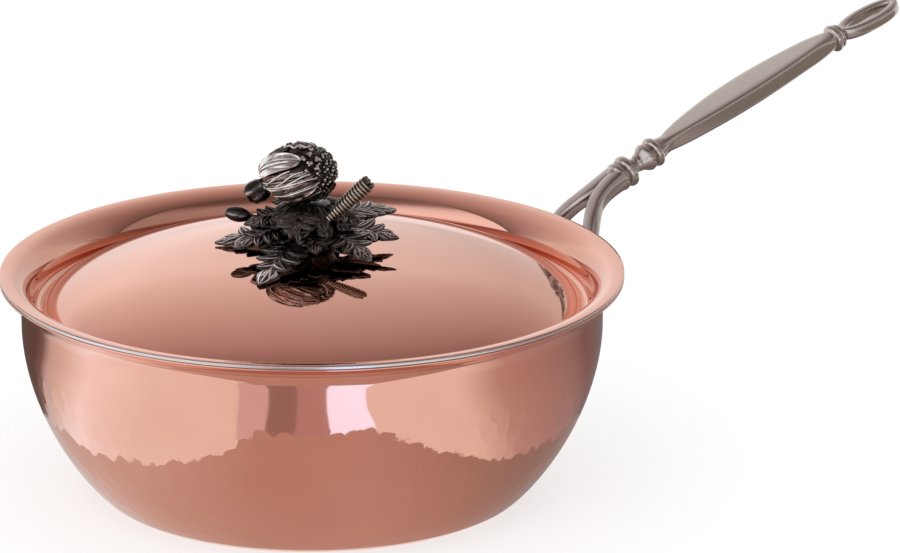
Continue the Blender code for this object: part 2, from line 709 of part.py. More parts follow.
def add_pod_and_bud(silver, lid):
    away = Vector(POD_DIRECTION).normalized()
    reach = 1.0 / math.sqrt(sum((away[k] / GLOBE_RADII[k]) ** 2 for k in range(3)))
    start = GLOBE_CENTRE + away * (reach + GAP)
    profile = [(0.0, 0.0), (0.62 * POD_RADIUS, 0.0), (POD_RADIUS, 0.35 * POD_LENGTH)]
    profile += [(0.96 * POD_RADIUS, 0.80 * POD_LENGTH), (0.6 * POD_RADIUS, POD_LENGTH), (0.0, POD_LENGTH)]
    finial_turned("side_pod", profile, start, start + away, silver, lid)
    start = Vector((-(BOSS_RADIUS + GAP), 0.0, 1.1 * BOSS_BULGE_HEIGHT))
    end = Vector((-BUD_REACH, 0.0, BUD_TIP_HEIGHT))
    stalk = (end - start).length - BUD_LENGTH
    profile = [(0.0, 0.0), (BUD_STALK_RADIUS, 0.0), (BUD_STALK_RADIUS, stalk)]
    profile += arc((0.0, stalk + BUD_LENGTH / 2.0), BUD_RADIUS, -50.0, 50.0, 4)
    profile += [(0.0, stalk + BUD_LENGTH)]
    finial_turned("side_bud", profile, start, end, silver, lid)


def add_fixing(iron, lid):
    """The stud up into the boss, with a washer and a nut under the lid."""
    under = APEX_HEIGHT - LID_COPPER - GAP - LID_LINING
    washer_top = under - GAP
    nut_top = washer_top - WASHER_THICKNESS - GAP
    stud_bottom = nut_top - NUT_HEIGHT - STUD_TAIL
    stud = [(0.0, stud_bottom), (STUD_RADIUS, stud_bottom)]
    stud += [(STUD_RADIUS, APEX_HEIGHT + STUD_GRIP_IN_BOSS), (0.0, APEX_HEIGHT + STUD_GRIP_IN_BOSS)]
    add_object("finial_stud", turned_mesh(stud, False, segments=16), iron, lid)
    washer = [(HOLE_RADIUS, washer_top - WASHER_THICKNESS), (WASHER_RADIUS, washer_top - WASHER_THICKNESS)]
    washer += [(WASHER_RADIUS, washer_top), (HOLE_RADIUS, washer_top)]
    add_object("finial_washer", turned_mesh(washer, True, segments=20), iron, lid)
    nut_radius = NUT_ACROSS_FLATS / math.sqrt(3.0)
    rings = []
    for radius, height in (
        (HOLE_RADIUS, nut_top),
        (nut_radius, nut_top),
        (nut_radius, nut_top - NUT_HEIGHT),
        (HOLE_RADIUS, nut_top - NUT_HEIGHT),
    ):
        ring = []
        for k in range(18):
            angle = 2.0 * math.pi * k / 18
            flat = math.cos(math.pi / 6.0) / math.cos((angle % (math.pi / 3.0)) - math.pi / 6.0)
            size = radius if radius == HOLE_RADIUS else radius * flat
            ring.append(Vector((size * math.cos(angle), size * math.sin(angle), height)))
        rings.append(ring)
    add_object("finial_nut", loft_mesh(rings, closed=True), iron, lid)


def main():
    clear_scene()
    copper = material("polished_copper", (0.72, 0.33, 0.22), 0.12)
    steel = material("steel_lining", (0.62, 0.60, 0.58), 0.22)
    iron = material("cast_steel", (0.36, 0.32, 0.30), 0.34)
    silver = material("antiqued_silver", (0.23, 0.20, 0.18), 0.30)
    lid = bpy.data.objects.new("lid_axis", None)
    bpy.context.scene.collection.objects.link(lid)
    rivet_holes = hide_helper(add_object("rivet_holes", rivet_hole_cutter(), iron))
    add_pan(copper, steel, rivet_holes)
    add_handle(iron, rivet_holes)
    add_rivets(iron)
    add_lid(copper, steel, lid)
    add_boss(silver, lid)
    add_leaves(silver, lid)
    add_object("vegetable_globe", globe_mesh(), silver, lid)
    add_root(silver, lid)
    add_pod_and_bud(silver, lid)
    add_fixing(iron, lid)


main()
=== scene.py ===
import math

import bmesh
import bpy
from mathutils import Matrix, Vector


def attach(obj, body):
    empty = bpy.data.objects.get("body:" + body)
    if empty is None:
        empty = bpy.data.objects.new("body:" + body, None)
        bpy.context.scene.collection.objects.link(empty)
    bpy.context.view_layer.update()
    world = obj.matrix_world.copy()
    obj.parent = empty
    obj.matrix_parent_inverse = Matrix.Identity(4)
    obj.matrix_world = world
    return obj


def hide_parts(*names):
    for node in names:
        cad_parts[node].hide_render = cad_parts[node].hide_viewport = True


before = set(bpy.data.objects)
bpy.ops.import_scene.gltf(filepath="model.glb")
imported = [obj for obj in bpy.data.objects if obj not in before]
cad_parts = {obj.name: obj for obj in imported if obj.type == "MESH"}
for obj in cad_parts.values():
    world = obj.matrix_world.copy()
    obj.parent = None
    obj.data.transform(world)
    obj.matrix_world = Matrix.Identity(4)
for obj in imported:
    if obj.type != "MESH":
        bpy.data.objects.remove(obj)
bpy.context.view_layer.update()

# Camera
# The photograph was taken from the front left of the handle, a little above the rim, with a long
# lens. Lengths across the picture run along photo_right, lengths away from it along photo_ahead.
photo_azimuth = math.radians(-35.0)
photo_elevation = math.radians(17.22)
camera_distance = 3.267
focal_pixels = 7287.0
picture_width, picture_height = 900.0, 553.0
rim_centre = Vector((0.0, 0.0, 0.1008))
rim_centre_pixel = (312.1, 270.1)
photo_right = Vector((math.cos(photo_azimuth), math.sin(photo_azimuth), 0.0))
photo_ahead = Vector((-math.sin(photo_azimuth), math.cos(photo_azimuth), 0.0))
view_direction = photo_ahead * math.cos(photo_elevation) - Vector((0.0, 0.0, math.sin(photo_elevation)))
view_up = photo_right.cross(view_direction)
pixel_size = camera_distance / focal_pixels
camera_data = bpy.data.cameras.new("photo_camera")
camera_data.sensor_width = 36.0
camera_data.lens = focal_pixels / picture_width * camera_data.sensor_width
camera_data.clip_end = 40.0
camera = bpy.data.objects.new("photo_camera", camera_data)
placing = Matrix((photo_right, view_up, -view_direction)).transposed().to_4x4()
placing.translation = (
    rim_centre
    - photo_right * (rim_centre_pixel[0] - picture_width / 2.0) * pixel_size
    + view_up * (rim_centre_pixel[1] - picture_height / 2.0) * pixel_size
    - view_direction * camera_distance
)
camera.matrix_world = placing
bpy.context.scene.collection.objects.link(camera)
bpy.context.scene.camera = camera
bpy.context.scene.view_settings.view_transform = "Standard"

# World, floor and studio lights
# A pale studio: a white surround, a pale floor that keeps the pan's shadow and two soft lamps. The
# cards are what a photographer stands round polished metal: only reflections see them.
white = (1.0, 1.0, 1.0, 1.0)
surround_light = 0.85
floor_reach, floor_colour, floor_glow = 30.0, (0.42, 0.42, 0.42, 1.0), 0.66
lamps = {
    "soft_key": ((-1.6, -1.2, 2.2), 9.0, 1.6),
    "soft_fill": ((1.8, -1.6, 1.8), 3.0, 1.6),
}


def shader_node(tree, kind, feeds=None, **settings):
    """A shader node with its settings; feeds gives its sockets values or other nodes' outputs."""
    node = tree.nodes.new("ShaderNode" + kind)
    for setting, value in settings.items():
        setattr(node, setting, value)
    for socket, feed in (feeds or {}).items():
        if isinstance(feed, bpy.types.NodeSocket):
            tree.links.new(feed, node.inputs[socket])
        else:
            node.inputs[socket].default_value = feed
    return node


def maths(tree, operation, *feeds, **settings):
    """The result of a Math node."""
    return shader_node(tree, "Math", dict(enumerate(feeds)), operation=operation, **settings).outputs[0]


def mapped(tree, value, from_low=0.0, from_high=1.0, to_low=0.0, to_high=1.0, **settings):
    """A value carried from one range to another and held at its ends."""
    feeds = {"Value": value, "From Min": from_low, "From Max": from_high, "To Min": to_low, "To Max": to_high}
    return shader_node(tree, "MapRange", feeds, **settings).outputs["Result"]


def seen_by(tree, first, *others):
    """1 where the surface is seen by one of the named kinds of ray, and 0 elsewhere."""
    path = shader_node(tree, "LightPath")
    seen = path.outputs[first]
    for ray in others:
        seen = maths(tree, "MAXIMUM", seen, path.outputs[ray])
    return seen


def new_object(name, bm):
    """An object of a bmesh, which is used up."""
    mesh = bpy.data.meshes.new(name)
    bm.to_mesh(mesh)
    bm.free()
    made = bpy.data.objects.new(name, mesh)
    bpy.context.scene.collection.objects.link(made)
    return made


world = bpy.data.worlds.new("studio")
bpy.context.scene.world = world
world.use_nodes = True
tree = world.node_tree
bright = tree.nodes["Background"]
bright.inputs["Color"].default_value = white
soft = shader_node(tree, "Background", {"Color": white, "Strength": surround_light})
seen = seen_by(tree, "Is Camera Ray", "Is Glossy Ray", "Is Transmission Ray")
surround = shader_node(tree, "MixShader", {0: seen, 1: soft.outputs[0], 2: bright.outputs[0]})
tree.links.new(surround.outputs[0], tree.nodes["World Output"].inputs["Surface"])

floor_material = bpy.data.materials.new("pale_floor")
floor_material.use_nodes = True
tree = floor_material.node_tree
matt = tree.nodes["Principled BSDF"]
matt.inputs["Base Color"].default_value = floor_colour
matt.inputs["Roughness"].default_value = 1.0
matt.inputs["Specular IOR Level"].default_value = 0.0
lift = maths(tree, "MULTIPLY", seen_by(tree, "Is Camera Ray", "Is Glossy Ray"), floor_glow)
glow = shader_node(tree, "Emission", {"Strength": lift})
both = shader_node(tree, "AddShader", {0: matt.outputs[0], 1: glow.outputs[0]})
tree.links.new(both.outputs[0], tree.nodes["Material Output"].inputs["Surface"])
floor_sheet = bmesh.new()
bmesh.ops.create_grid(floor_sheet, x_segments=1, y_segments=1, size=floor_reach)
floor = new_object("floor", floor_sheet)
floor.data.materials.append(floor_material)

for lamp_name, (place, watts, width) in lamps.items():
    lamp_data = bpy.data.lights.new(lamp_name, "AREA")
    lamp_data.energy = watts
    lamp_data.size = width
    lamp = bpy.data.objects.new(lamp_name, lamp_data)
    lamp.location = place
    lamp.rotation_mode = "QUATERNION"
    lamp.rotation_quaternion = (rim_centre - Vector(place)).to_track_quat("-Z", "Y")
    lamp.visible_camera = False
    lamp.visible_glossy = False
    bpy.context.scene.collection.objects.link(lamp)


def add_card(name, corners, height, colour=(1.0, 1.0, 1.0)):
    """A studio card from corners (right of the picture, towards the camera), lying at a height."""
    sheet = bmesh.new()
    lift = Vector((0.0, 0.0, height))
    places = [photo_right * right - photo_ahead * near + lift for right, near in corners]
    sheet.faces.new([sheet.verts.new(place) for place in places])
    card = new_object(name, sheet)
    card_material = bpy.data.materials.new(name)
    card_material.use_nodes = True
    card_material.cycles.emission_sampling = "NONE"
    tree = card_material.node_tree
    tree.nodes.remove(tree.nodes["Principled BSDF"])
    painted_light = shader_node(tree, "Emission", {"Color": (*colour, 1.0)})
    tree.links.new(painted_light.outputs[0], tree.nodes["Material Output"].inputs["Surface"])
    card.data.materials.append(card_material)
    card.visible_camera = False
    card.visible_diffuse = False
    card.visible_transmission = False
    card.visible_shadow = False
    return tree, painted_light


def distance_along(tree, direction):
    """How far a card's point lies along a direction from the pan's axis."""
    place = shader_node(tree, "TexCoord").outputs["Object"]
    along = shader_node(tree, "VectorMath", {0: place, 1: direction}, operation="DOT_PRODUCT")
    return along.outputs["Value"]


def ramp_over(tree, value, stops):
    """A colour ramp over a value, with stops (value, colour) from the lowest to the highest."""
    low, high = stops[0][0], stops[-1][0]
    colours = shader_node(tree, "ValToRGB", {"Fac": mapped(tree, value, low, high)})
    elements = colours.color_ramp.elements
    elements.remove(elements[1])
    for k, (place, colour) in enumerate(stops):
        share = (place - low) / (high - low)
        stop = elements[0] if k == 0 else elements.new(share)
        stop.position = share
        stop.color = (*colour, 1.0)
    return colours.outputs["Color"]


def shade_by_turn(card, strength, stops):
    """Shade a card by the turn round the pan, in degrees from the camera towards the right."""
    tree, painted_light = card
    turn = maths(tree, "ARCTAN2", distance_along(tree, photo_right), distance_along(tree, -photo_ahead))
    rows = [(math.radians(angle), [part / strength for part in colour]) for angle, colour in stops]
    tree.links.new(ramp_over(tree, turn, rows), painted_light.inputs["Color"])
    painted_light.inputs["Strength"].default_value = strength


def shade_by_both(card, strength, first, second):
    """Shade a card by the product of two colours."""
    tree, painted_light = card
    product = shader_node(tree, "VectorMath", {0: first, 1: second}, operation="MULTIPLY")
    tree.links.new(product.outputs["Vector"], painted_light.inputs["Color"])
    painted_light.inputs["Strength"].default_value = strength


# The table top that the copper mirrors: long in front, where the photographer stands, and short behind
table_reach, table_reach_behind, table_front_half = 1.7, 0.45, math.radians(96.0)
table_height, table_light = 0.0003, 2.0
table_corners = []
for step in range(72):
    turn = math.radians(5.0 * step - 180.0)
    reach = table_reach if abs(turn) < table_front_half else table_reach_behind
    table_corners.append((reach * math.sin(turn), reach * math.cos(turn)))
shade_by_turn(
    add_card("card_table", table_corners, table_height),
    table_light,
    [
        (-180, (0.20, 0.18, 0.17)), (-142, (0.12, 0.09, 0.08)), (-118, (0.14, 0.10, 0.09)),
        (-111, (0.24, 0.18, 0.17)), (-105, (0.66, 0.66, 0.66)), (-95, (0.86, 0.89, 0.88)),
        (-80, (1.18, 1.41, 1.60)), (-52, (1.02, 1.12, 1.18)), (0, (1.00, 1.08, 1.12)),
        (50, (0.98, 1.05, 1.08)), (58, (0.80, 0.78, 0.80)), (66, (0.61, 0.53, 0.55)),
        (80, (0.52, 0.42, 0.43)), (92, (0.44, 0.36, 0.36)), (104, (0.36, 0.30, 0.30)),
        (116, (0.25, 0.18, 0.19)), (135, (0.22, 0.20, 0.20)), (180, (0.20, 0.20, 0.20)),
    ],
)

# Cards on the table, each a little above the one before: a fill, a gap, a window's strip, the handle's
table_cards = {
    "card_left_fill": (
        [(-0.045, 0.200), (-0.078, 0.200), (-0.560, 1.250), (-0.290, 1.300)],
        (0.81, 0.77, 0.90),
    ),
    "card_gap": (
        [(-0.014, 0.200), (-0.046, 0.200), (-0.300, 1.300), (-0.080, 1.300)],
        (0.40, 0.32, 0.33),
    ),
    "card_middle": (
        [(-0.014, 0.200), (0.024, 0.200), (0.110, 1.300), (-0.085, 1.300)],
        (0.59, 0.46, 0.50),
    ),
    "card_strip": (
        [(0.022, 0.200), (0.074, 0.200), (0.360, 1.250), (0.110, 1.300)],
        (1.30, 1.80, 2.65),
    ),
    "card_handle": (
        [(0.460, -0.350), (0.460, 0.550), (3.500, 2.200), (3.500, -1.400)],
        (0.31, 0.27, 0.24),
    ),
}
card_height, card_step = 0.0005, 0.0002
for card_name, (corners, card_colour) in table_cards.items():
    add_card(card_name, corners, card_height, card_colour)
    card_height += card_step
# The near card is a painted shadow: the pan's own shadow on the table round its foot, darker towards the
# right, on a card that only reflections see.
near_light = 1.0
near_corners = [
    (-0.150, -0.060), (-0.150, 0.010), (-0.124, 0.075), (-0.098, 0.115), (-0.078, 0.155), (-0.066, 0.190),
    (-0.066, 0.230), (0.078, 0.230), (0.086, 0.190), (0.104, 0.140), (0.114, 0.100), (0.136, 0.046),
    (0.146, -0.010), (0.146, -0.060), (0.060, -0.160), (-0.060, -0.160),
]
shade_by_turn(
    add_card("card_near_shadow", near_corners, card_height),
    near_light,
    [
        (-180, (0.35, 0.30, 0.29)), (-110, (0.62, 0.58, 0.56)), (-70, (0.74, 0.70, 0.68)),
        (-50, (0.72, 0.67, 0.65)), (-15, (0.61, 0.50, 0.47)), (15, (0.60, 0.48, 0.45)),
        (36, (0.53, 0.42, 0.39)), (63, (0.38, 0.33, 0.31)), (90, (0.35, 0.30, 0.29)),
        (180, (0.35, 0.30, 0.29)),
    ],
)

# The ceiling that the lid mirrors: dark above the camera, pale far behind, brighter at the left
overhead_reach, overhead_height, overhead_light = 45.0, 2.0, 1.3
overhead_corners = []
for step in range(48):
    turn = 2.0 * math.pi * step / 48
    overhead_corners.append((overhead_reach * math.cos(turn), overhead_reach * math.sin(turn)))
overhead = add_card("card_overhead", overhead_corners, overhead_height)
from_front_to_back = ramp_over(
    overhead[0],
    distance_along(overhead[0], photo_ahead),
    [
        (-8.0, (0.25, 0.21, 0.20)), (-0.20, (0.25, 0.20, 0.19)), (0.05, (0.34, 0.28, 0.27)),
        (0.35, (0.40, 0.32, 0.32)), (0.9, (0.54, 0.44, 0.45)), (2.0, (0.72, 0.66, 0.67)),
        (4.2, (1.00, 1.00, 1.00)), (16.0, (1.05, 1.05, 1.05)),
    ],
)
from_left_to_right = ramp_over(
    overhead[0],
    distance_along(overhead[0], photo_right),
    [
        (-6.0, (0.67, 0.69, 0.70)), (-2.4, (0.77, 0.78, 0.80)), (-1.2, (0.83, 0.84, 0.85)),
        (0.0, (0.72, 0.72, 0.72)), (1.2, (0.58, 0.57, 0.56)), (6.0, (0.55, 0.55, 0.55)),
    ],
)
shade_by_both(overhead, overhead_light, from_front_to_back, from_left_to_right)

# The ceiling's front part, just under it: a dark middle above the pan and a bright front
front_start, front_height, front_light, dark_middle_ahead = 0.30, 1.99, 1.15, -0.2
front_corners = [
    (-overhead_reach, front_start), (overhead_reach, front_start),
    (overhead_reach, overhead_reach), (-overhead_reach, overhead_reach),
]
front = add_card("card_overhead_near", front_corners, front_height)
dark_middle = photo_ahead * dark_middle_ahead + Vector((0.0, 0.0, front_height))
place = shader_node(front[0], "TexCoord").outputs["Object"]
from_dark_middle = shader_node(front[0], "VectorMath", {0: place, 1: dark_middle}, operation="DISTANCE")
away_from_middle = ramp_over(
    front[0],
    from_dark_middle.outputs["Value"],
    [
        (0.0, (0.22, 0.18, 0.17)), (0.9, (0.24, 0.19, 0.18)), (1.4, (0.34, 0.30, 0.30)),
        (1.9, (0.74, 0.72, 0.74)), (2.5, (0.96, 0.96, 1.00)), (4.0, (1.00, 1.02, 1.06)),
    ],
)
left_is_brighter = ramp_over(
    front[0],
    distance_along(front[0], photo_right),
    [
        (-4.0, (1.00, 1.02, 1.05)), (-2.0, (0.92, 0.94, 0.98)), (-0.9, (0.80, 0.80, 0.82)),
        (0.6, (0.60, 0.56, 0.56)), (1.8, (0.43, 0.39, 0.38)), (4.0, (0.38, 0.35, 0.34)),
    ],
)
shade_by_both(front, front_light, away_from_middle, left_is_brighter)

# Pan body
# One spun sheet of thick copper: a flat base, a rounded belly that is planished all over with a
# hammer, a short straight neck and a smooth rim that is rolled outwards.
rim_radius = 0.140
neck_height = 0.0869
flare_radius = 0.0095
neck_radius = rim_radius - flare_radius
belly_height = neck_height - 0.0095
base_radius = 0.0939
base_corner = 0.004
belly_fullness = 1.84
belly_rounding = 1.18
pan_copper = 0.0024
pan_lining = 0.0011
hair_gap = 0.0003
body_segments = 224
lip_rounding = 0.00035
thinning_from, thinning_over = 138.0, 46.0
# Rows of a layer's depth at the neck and its depth at the lip
lip_depths = [
    (0.0, 0.0016), (0.0024, 0.0025), (0.0027, 0.0026), (0.0038, 0.0041),
    (0.0041, 0.0042), (0.0045, 0.0043), (0.0048, 0.0044), (0.0057, 0.0047),
]


def arc(centre, radius, start, end, steps):
    """Points (r, z) on an arc, angles in degrees from outwards towards up."""
    points = []
    for step in range(steps + 1):
        angle = math.radians(start + (end - start) * step / steps)
        points.append((centre[0] + radius * math.cos(angle), centre[1] + radius * math.sin(angle)))
    return points


def belly_point(t):
    """A place (r, z) on the belly's outside at a share of its height."""
    reach_out = (1.0 - (1.0 - t) ** belly_fullness) ** (1.0 / belly_rounding)
    return base_radius + (neck_radius - base_radius) * reach_out, t * belly_height


def between(table, height):
    """A straight-line value between the rows (height, value) of a table."""
    for (low, low_value), (high, high_value) in zip(table, table[1:]):
        if height <= high:
            return low_value + (high_value - low_value) * max(0.0, (height - low) / (high - low))
    return table[-1][1]


def lip_arc(depth, steps):
    """The rolled rim at a depth above the copper's outside, from the neck to the lip.

    The layers are drawn thin towards the lip, where the polished lining keeps most of its thickness.
    """
    at_lip = between(lip_depths, depth)
    points = []
    for step in range(steps + 1):
        turn = 180.0 - 90.0 * step / steps
        thinned = min(1.0, max(0.0, (thinning_from - turn) / thinning_over))
        thinned = thinned * thinned * (3.0 - 2.0 * thinned)
        radius = flare_radius + depth + (at_lip - depth) * thinned
        points += arc((rim_radius, neck_height), radius, turn, turn, 1)[:1]
    return points


def rounded_lip(low_skin, high_skin):
    """Close two skins at the lip with a rounded edge; both run from the inside to the lip."""
    low, high = low_skin[-1][1], high_skin[-1][1]
    corner = min(lip_rounding, 0.45 * (high - low))
    edge = arc((rim_radius - corner, low + corner), corner, -90.0, 0.0, 3)
    edge += arc((rim_radius - corner, high - corner), corner, 0.0, 90.0, 3)
    return low_skin[:-1] + edge + high_skin[-2::-1]


def pan_skin(depth):
    """The pan's wall at a depth below its outside, from the base to the rim's edge."""
    flat_radii = (0.0, 0.5 * base_radius, base_radius - base_corner, base_radius)
    points = [(radius, depth) for radius in flat_radii]
    steps = 44
    for step in range(1, steps):
        t = (step / steps) ** 1.4
        radius, height = belly_point(t)
        next_radius, next_height = belly_point(t + 0.001)
        along = Vector((next_radius - radius, next_height - height)).normalized()
        points.append((radius - along.y * depth, height + along.x * depth))
    points.append((neck_radius - depth, belly_height))
    points.append((neck_radius - depth, (belly_height + neck_height) / 2.0))
    return points + lip_arc(depth, 22)


def turned(profile, segments, closed=True):
    """Spin a profile of (r, z) round Z; a closed profile is a loop of sheet with a wall."""
    bm = bmesh.new()
    verts = [bm.verts.new((radius, 0.0, height)) for radius, height in profile]
    edges = [bm.edges.new(pair) for pair in zip(verts, verts[1:])]
    if closed:
        edges.append(bm.edges.new((verts[-1], verts[0])))
    bmesh.ops.spin(
        bm,
        geom=verts + edges,
        cent=(0.0, 0.0, 0.0),
        axis=(0.0, 0.0, 1.0),
        angle=2.0 * math.pi,
        steps=segments,
        use_merge=True,
    )
    bmesh.ops.remove_doubles(bm, verts=bm.verts, dist=1e-6)
    bmesh.ops.recalc_face_normals(bm, faces=bm.faces)
    return bm


def add_piece(name, bm, material, body, node, sharp=32.0):
    """A finished piece: smooth shading, one material, its body and the node it stands for."""
    made = new_object(name, bm)
    made.data.shade_smooth()
    made.data.set_sharp_from_angle(angle=math.radians(sharp))
    made.data.materials.append(material)
    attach(made, body)
    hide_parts(node)


def new_group(name, inputs, outputs):
    """An empty shader node group: inputs by name with their values, outputs by name."""
    group = bpy.data.node_groups.new(name, "ShaderNodeTree")
    for socket_name, value in inputs.items():
        kind = "NodeSocketColor" if isinstance(value, tuple) else "NodeSocketFloat"
        socket = group.interface.new_socket(socket_name, in_out="INPUT", socket_type=kind)
        socket.default_value = value
    for socket_name in outputs:
        kind = "NodeSocketColor" if socket_name == "Colour" else "NodeSocketFloat"
        group.interface.new_socket(socket_name, in_out="OUTPUT", socket_type=kind)
    return group, group.nodes.new("NodeGroupInput"), group.nodes.new("NodeGroupOutput")


def mixed(tree, share, first, second):
    """A colour that goes from the first to the second by a share."""
    feeds = {"Factor": share, "A": first, "B": second}
    return shader_node(tree, "Mix", feeds, data_type="RGBA").outputs["Result"]


def blend_and_dull(group, share, first, second):
    """Feed a group's colour and roughness, which go from one of its values to the other by a share."""
    tree, given, made = group
    tree.links.new(mixed(tree, share, given.outputs[first], given.outputs[second]), made.inputs["Colour"])
    low, high = given.outputs["Roughness Low"], given.outputs["Roughness High"]
    tree.links.new(mapped(tree, share, to_low=low, to_high=high), made.inputs["Roughness"])


# Copper's tone: broad soft clouds of slightly deeper, slightly duller metal
copper_group = new_group(
    "copper_tone",
    {
        "Bright": (0.78, 0.39, 0.29, 1.0),
        "Deep": (0.72, 0.33, 0.23, 1.0),
        "Cloud Scale": 18.0,
        "Roughness Low": 0.04,
        "Roughness High": 0.10,
    },
    ["Colour", "Roughness"],
)
copper_tone, given, made = copper_group
place = shader_node(copper_tone, "TexCoord").outputs["Object"]
cloud_feeds = {"Vector": place, "Scale": given.outputs["Cloud Scale"], "Detail": 3.0}
clouds = shader_node(copper_tone, "TexNoise", cloud_feeds)
blend_and_dull(copper_group, mapped(copper_tone, clouds.outputs["Fac"], 0.35, 0.68), "Bright", "Deep")

# Hammer marks: shallow round dimples side by side with crisp ridges between them, and a finer unevenness
hammer_marks, given, made = new_group(
    "hammer_marks",
    {"Marks Per Metre": 150.0, "Unevenness": 0.30, "Highest": 0.070, "Fade": 0.006},
    ["Height"],
)
place = shader_node(hammer_marks, "TexCoord").outputs["Object"]
density, highest = given.outputs["Marks Per Metre"], given.outputs["Highest"]
cells = shader_node(hammer_marks, "TexVoronoi", {"Vector": place, "Scale": density, "Randomness": 0.95})
dimples = maths(hammer_marks, "POWER", cells.outputs["Distance"], 2.0)
ripple = shader_node(hammer_marks, "TexNoise", {"Vector": place, "Scale": density, "Detail": 2.0})
uneven = maths(hammer_marks, "MULTIPLY_ADD", ripple.outputs["Fac"], given.outputs["Unevenness"], dimples)
height = shader_node(hammer_marks, "SeparateXYZ", {"Vector": place}).outputs["Z"]
fade_start = maths(hammer_marks, "SUBTRACT", highest, given.outputs["Fade"])
below = mapped(hammer_marks, height, fade_start, highest, 1.0, 0.0, interpolation_type="SMOOTHSTEP")
hammer_marks.links.new(maths(hammer_marks, "MULTIPLY", uneven, below), made.inputs["Height"])


def metal_material(name, group, values):
    """A metal whose colour and roughness come from a node group with its own values."""
    material = bpy.data.materials.new(name)
    material.use_nodes = True
    tree = material.node_tree
    shader = tree.nodes["Principled BSDF"]
    shader.inputs["Metallic"].default_value = 1.0
    tone = shader_node(tree, "Group", values, node_tree=group)
    tree.links.new(tone.outputs["Colour"], shader.inputs["Base Color"])
    tree.links.new(tone.outputs["Roughness"], shader.inputs["Roughness"])
    return material


def add_bump(material, height_socket, depth):
    """Feed a height to the material's bump."""
    tree = material.node_tree
    bump = shader_node(tree, "Bump", {"Distance": depth, "Height": height_socket})
    tree.links.new(bump.outputs["Normal"], tree.nodes["Principled BSDF"].inputs["Normal"])


hammered_copper = metal_material(
    "hammered_copper",
    copper_tone,
    {
        "Bright": (0.80, 0.41, 0.31, 1.0),
        "Deep": (0.76, 0.37, 0.27, 1.0),
        "Roughness Low": 0.035,
        "Roughness High": 0.075,
    },
)
mark_depth = 0.00022
marks = shader_node(hammered_copper.node_tree, "Group", node_tree=hammer_marks)
add_bump(hammered_copper, marks.outputs["Height"], mark_depth)
pan_profile = rounded_lip(pan_skin(0.0), pan_skin(pan_copper))
pan_body = turned(pan_profile, body_segments, closed=False)
add_piece("hammered_body", pan_body, hammered_copper, "pan", "pan_shell")

# Pan lining
# The cooking surface: a thin pale metal skin inside the copper, which comes over the rim and shows as the
# silver line. Its satin finish is spun in fine rings round the pan's axis.
lining_outside = pan_copper + hair_gap
lining_inside = lining_outside + pan_lining
satin_group = new_group(
    "satin_tone",
    {
        "Light": (0.66, 0.64, 0.62, 1.0),
        "Shade": (0.58, 0.55, 0.53, 1.0),
        "Grain Scale": 260.0,
        "Roughness Low": 0.16,
        "Roughness High": 0.30,
    },
    ["Colour", "Roughness"],
)
satin_tone, given, made = satin_group
place = shader_node(satin_tone, "TexCoord").outputs["Object"]
split = shader_node(satin_tone, "SeparateXYZ", {"Vector": place})
flat_place = shader_node(satin_tone, "CombineXYZ", {"X": split.outputs["X"], "Y": split.outputs["Y"]})
from_axis = shader_node(satin_tone, "VectorMath", {0: flat_place.outputs[0]}, operation="LENGTH")
ring_place = shader_node(satin_tone, "CombineXYZ", {"X": from_axis.outputs["Value"], "Y": split.outputs["Z"]})
ring_feeds = {"Vector": ring_place.outputs[0], "Scale": given.outputs["Grain Scale"], "Detail": 4.0}
rings = shader_node(satin_tone, "TexNoise", ring_feeds)
blend_and_dull(satin_group, rings.outputs["Fac"], "Light", "Shade")
# The lining's pale metal is tinted warm: partly its own colour, partly a painted reflection of the copper
# round it.
lining_metal = metal_material(
    "lining_metal",
    satin_tone,
    {
        "Light": (0.71, 0.61, 0.575, 1.0),
        "Shade": (0.63, 0.53, 0.495, 1.0),
        "Roughness Low": 0.20,
        "Roughness High": 0.30,
    },
)
lining_profile = rounded_lip(pan_skin(lining_outside), pan_skin(lining_inside))
pan_lining_skin = turned(lining_profile, body_segments, closed=False)
add_piece("pan_lining_skin", pan_lining_skin, lining_metal, "pan", "pan_lining")

# Lid
# A smooth sheet of copper, spun and mirror polished: a flange that lies in the pan's flared rim, a
# skirt that drops into the neck, a narrow valley and a broad shallow dome with a hole for the stud.
lid_copper = 0.0009
lid_lining = 0.0004
skirt_radius = 0.0024
lid_underside = lining_inside + hair_gap
lid_top = lid_underside + lid_lining + hair_gap + lid_copper
skirt_centre_radius = neck_radius - lid_top - skirt_radius
dome_radius = skirt_centre_radius - 0.0019
dome_height = 0.0278
dome_fullness = 2.3
dome_rounding = 1.65
valley_fillet = 0.0015
valley_height = neck_height - skirt_radius
apex_height = valley_height + dome_height
stud_radius = 0.0030
stud_hole_radius = stud_radius + hair_gap


def dome_point(angle):
    """A place (r, z) on the dome's top at an angle from its apex."""
    reach_out = math.sin(angle) ** (2.0 / dome_fullness)
    return dome_radius * reach_out, valley_height + dome_height * math.cos(angle) ** (2.0 / dome_rounding)


def lid_skin(depth):
    """The lid at a depth below its top, from the stud's hole out to the rim's edge."""
    foot_angle = math.acos((valley_fillet / dome_height) ** (dome_rounding / 2.0))
    fillet_centre = (dome_point(foot_angle)[0] + valley_fillet, valley_height + valley_fillet)
    points = lip_arc(lid_top - depth, 22)[::-1]
    points += arc((skirt_centre_radius, neck_height), skirt_radius + depth, 0.0, -90.0, 10)[1:]
    points += arc(fillet_centre, valley_fillet + depth, 270.0, 180.0, 6)
    steps = 44
    for step in range(1, steps):
        angle = foot_angle * (1.0 - step / steps)
        radius, height = dome_point(angle)
        if radius < 2.0 * stud_hole_radius:
            continue
        next_radius, next_height = dome_point(angle - 0.001)
        along = Vector((next_radius - radius, next_height - height)).normalized()
        points.append((radius - along.y * depth, height + along.x * depth))
    points.append((stud_hole_radius, apex_height - depth))
    return points[::-1]


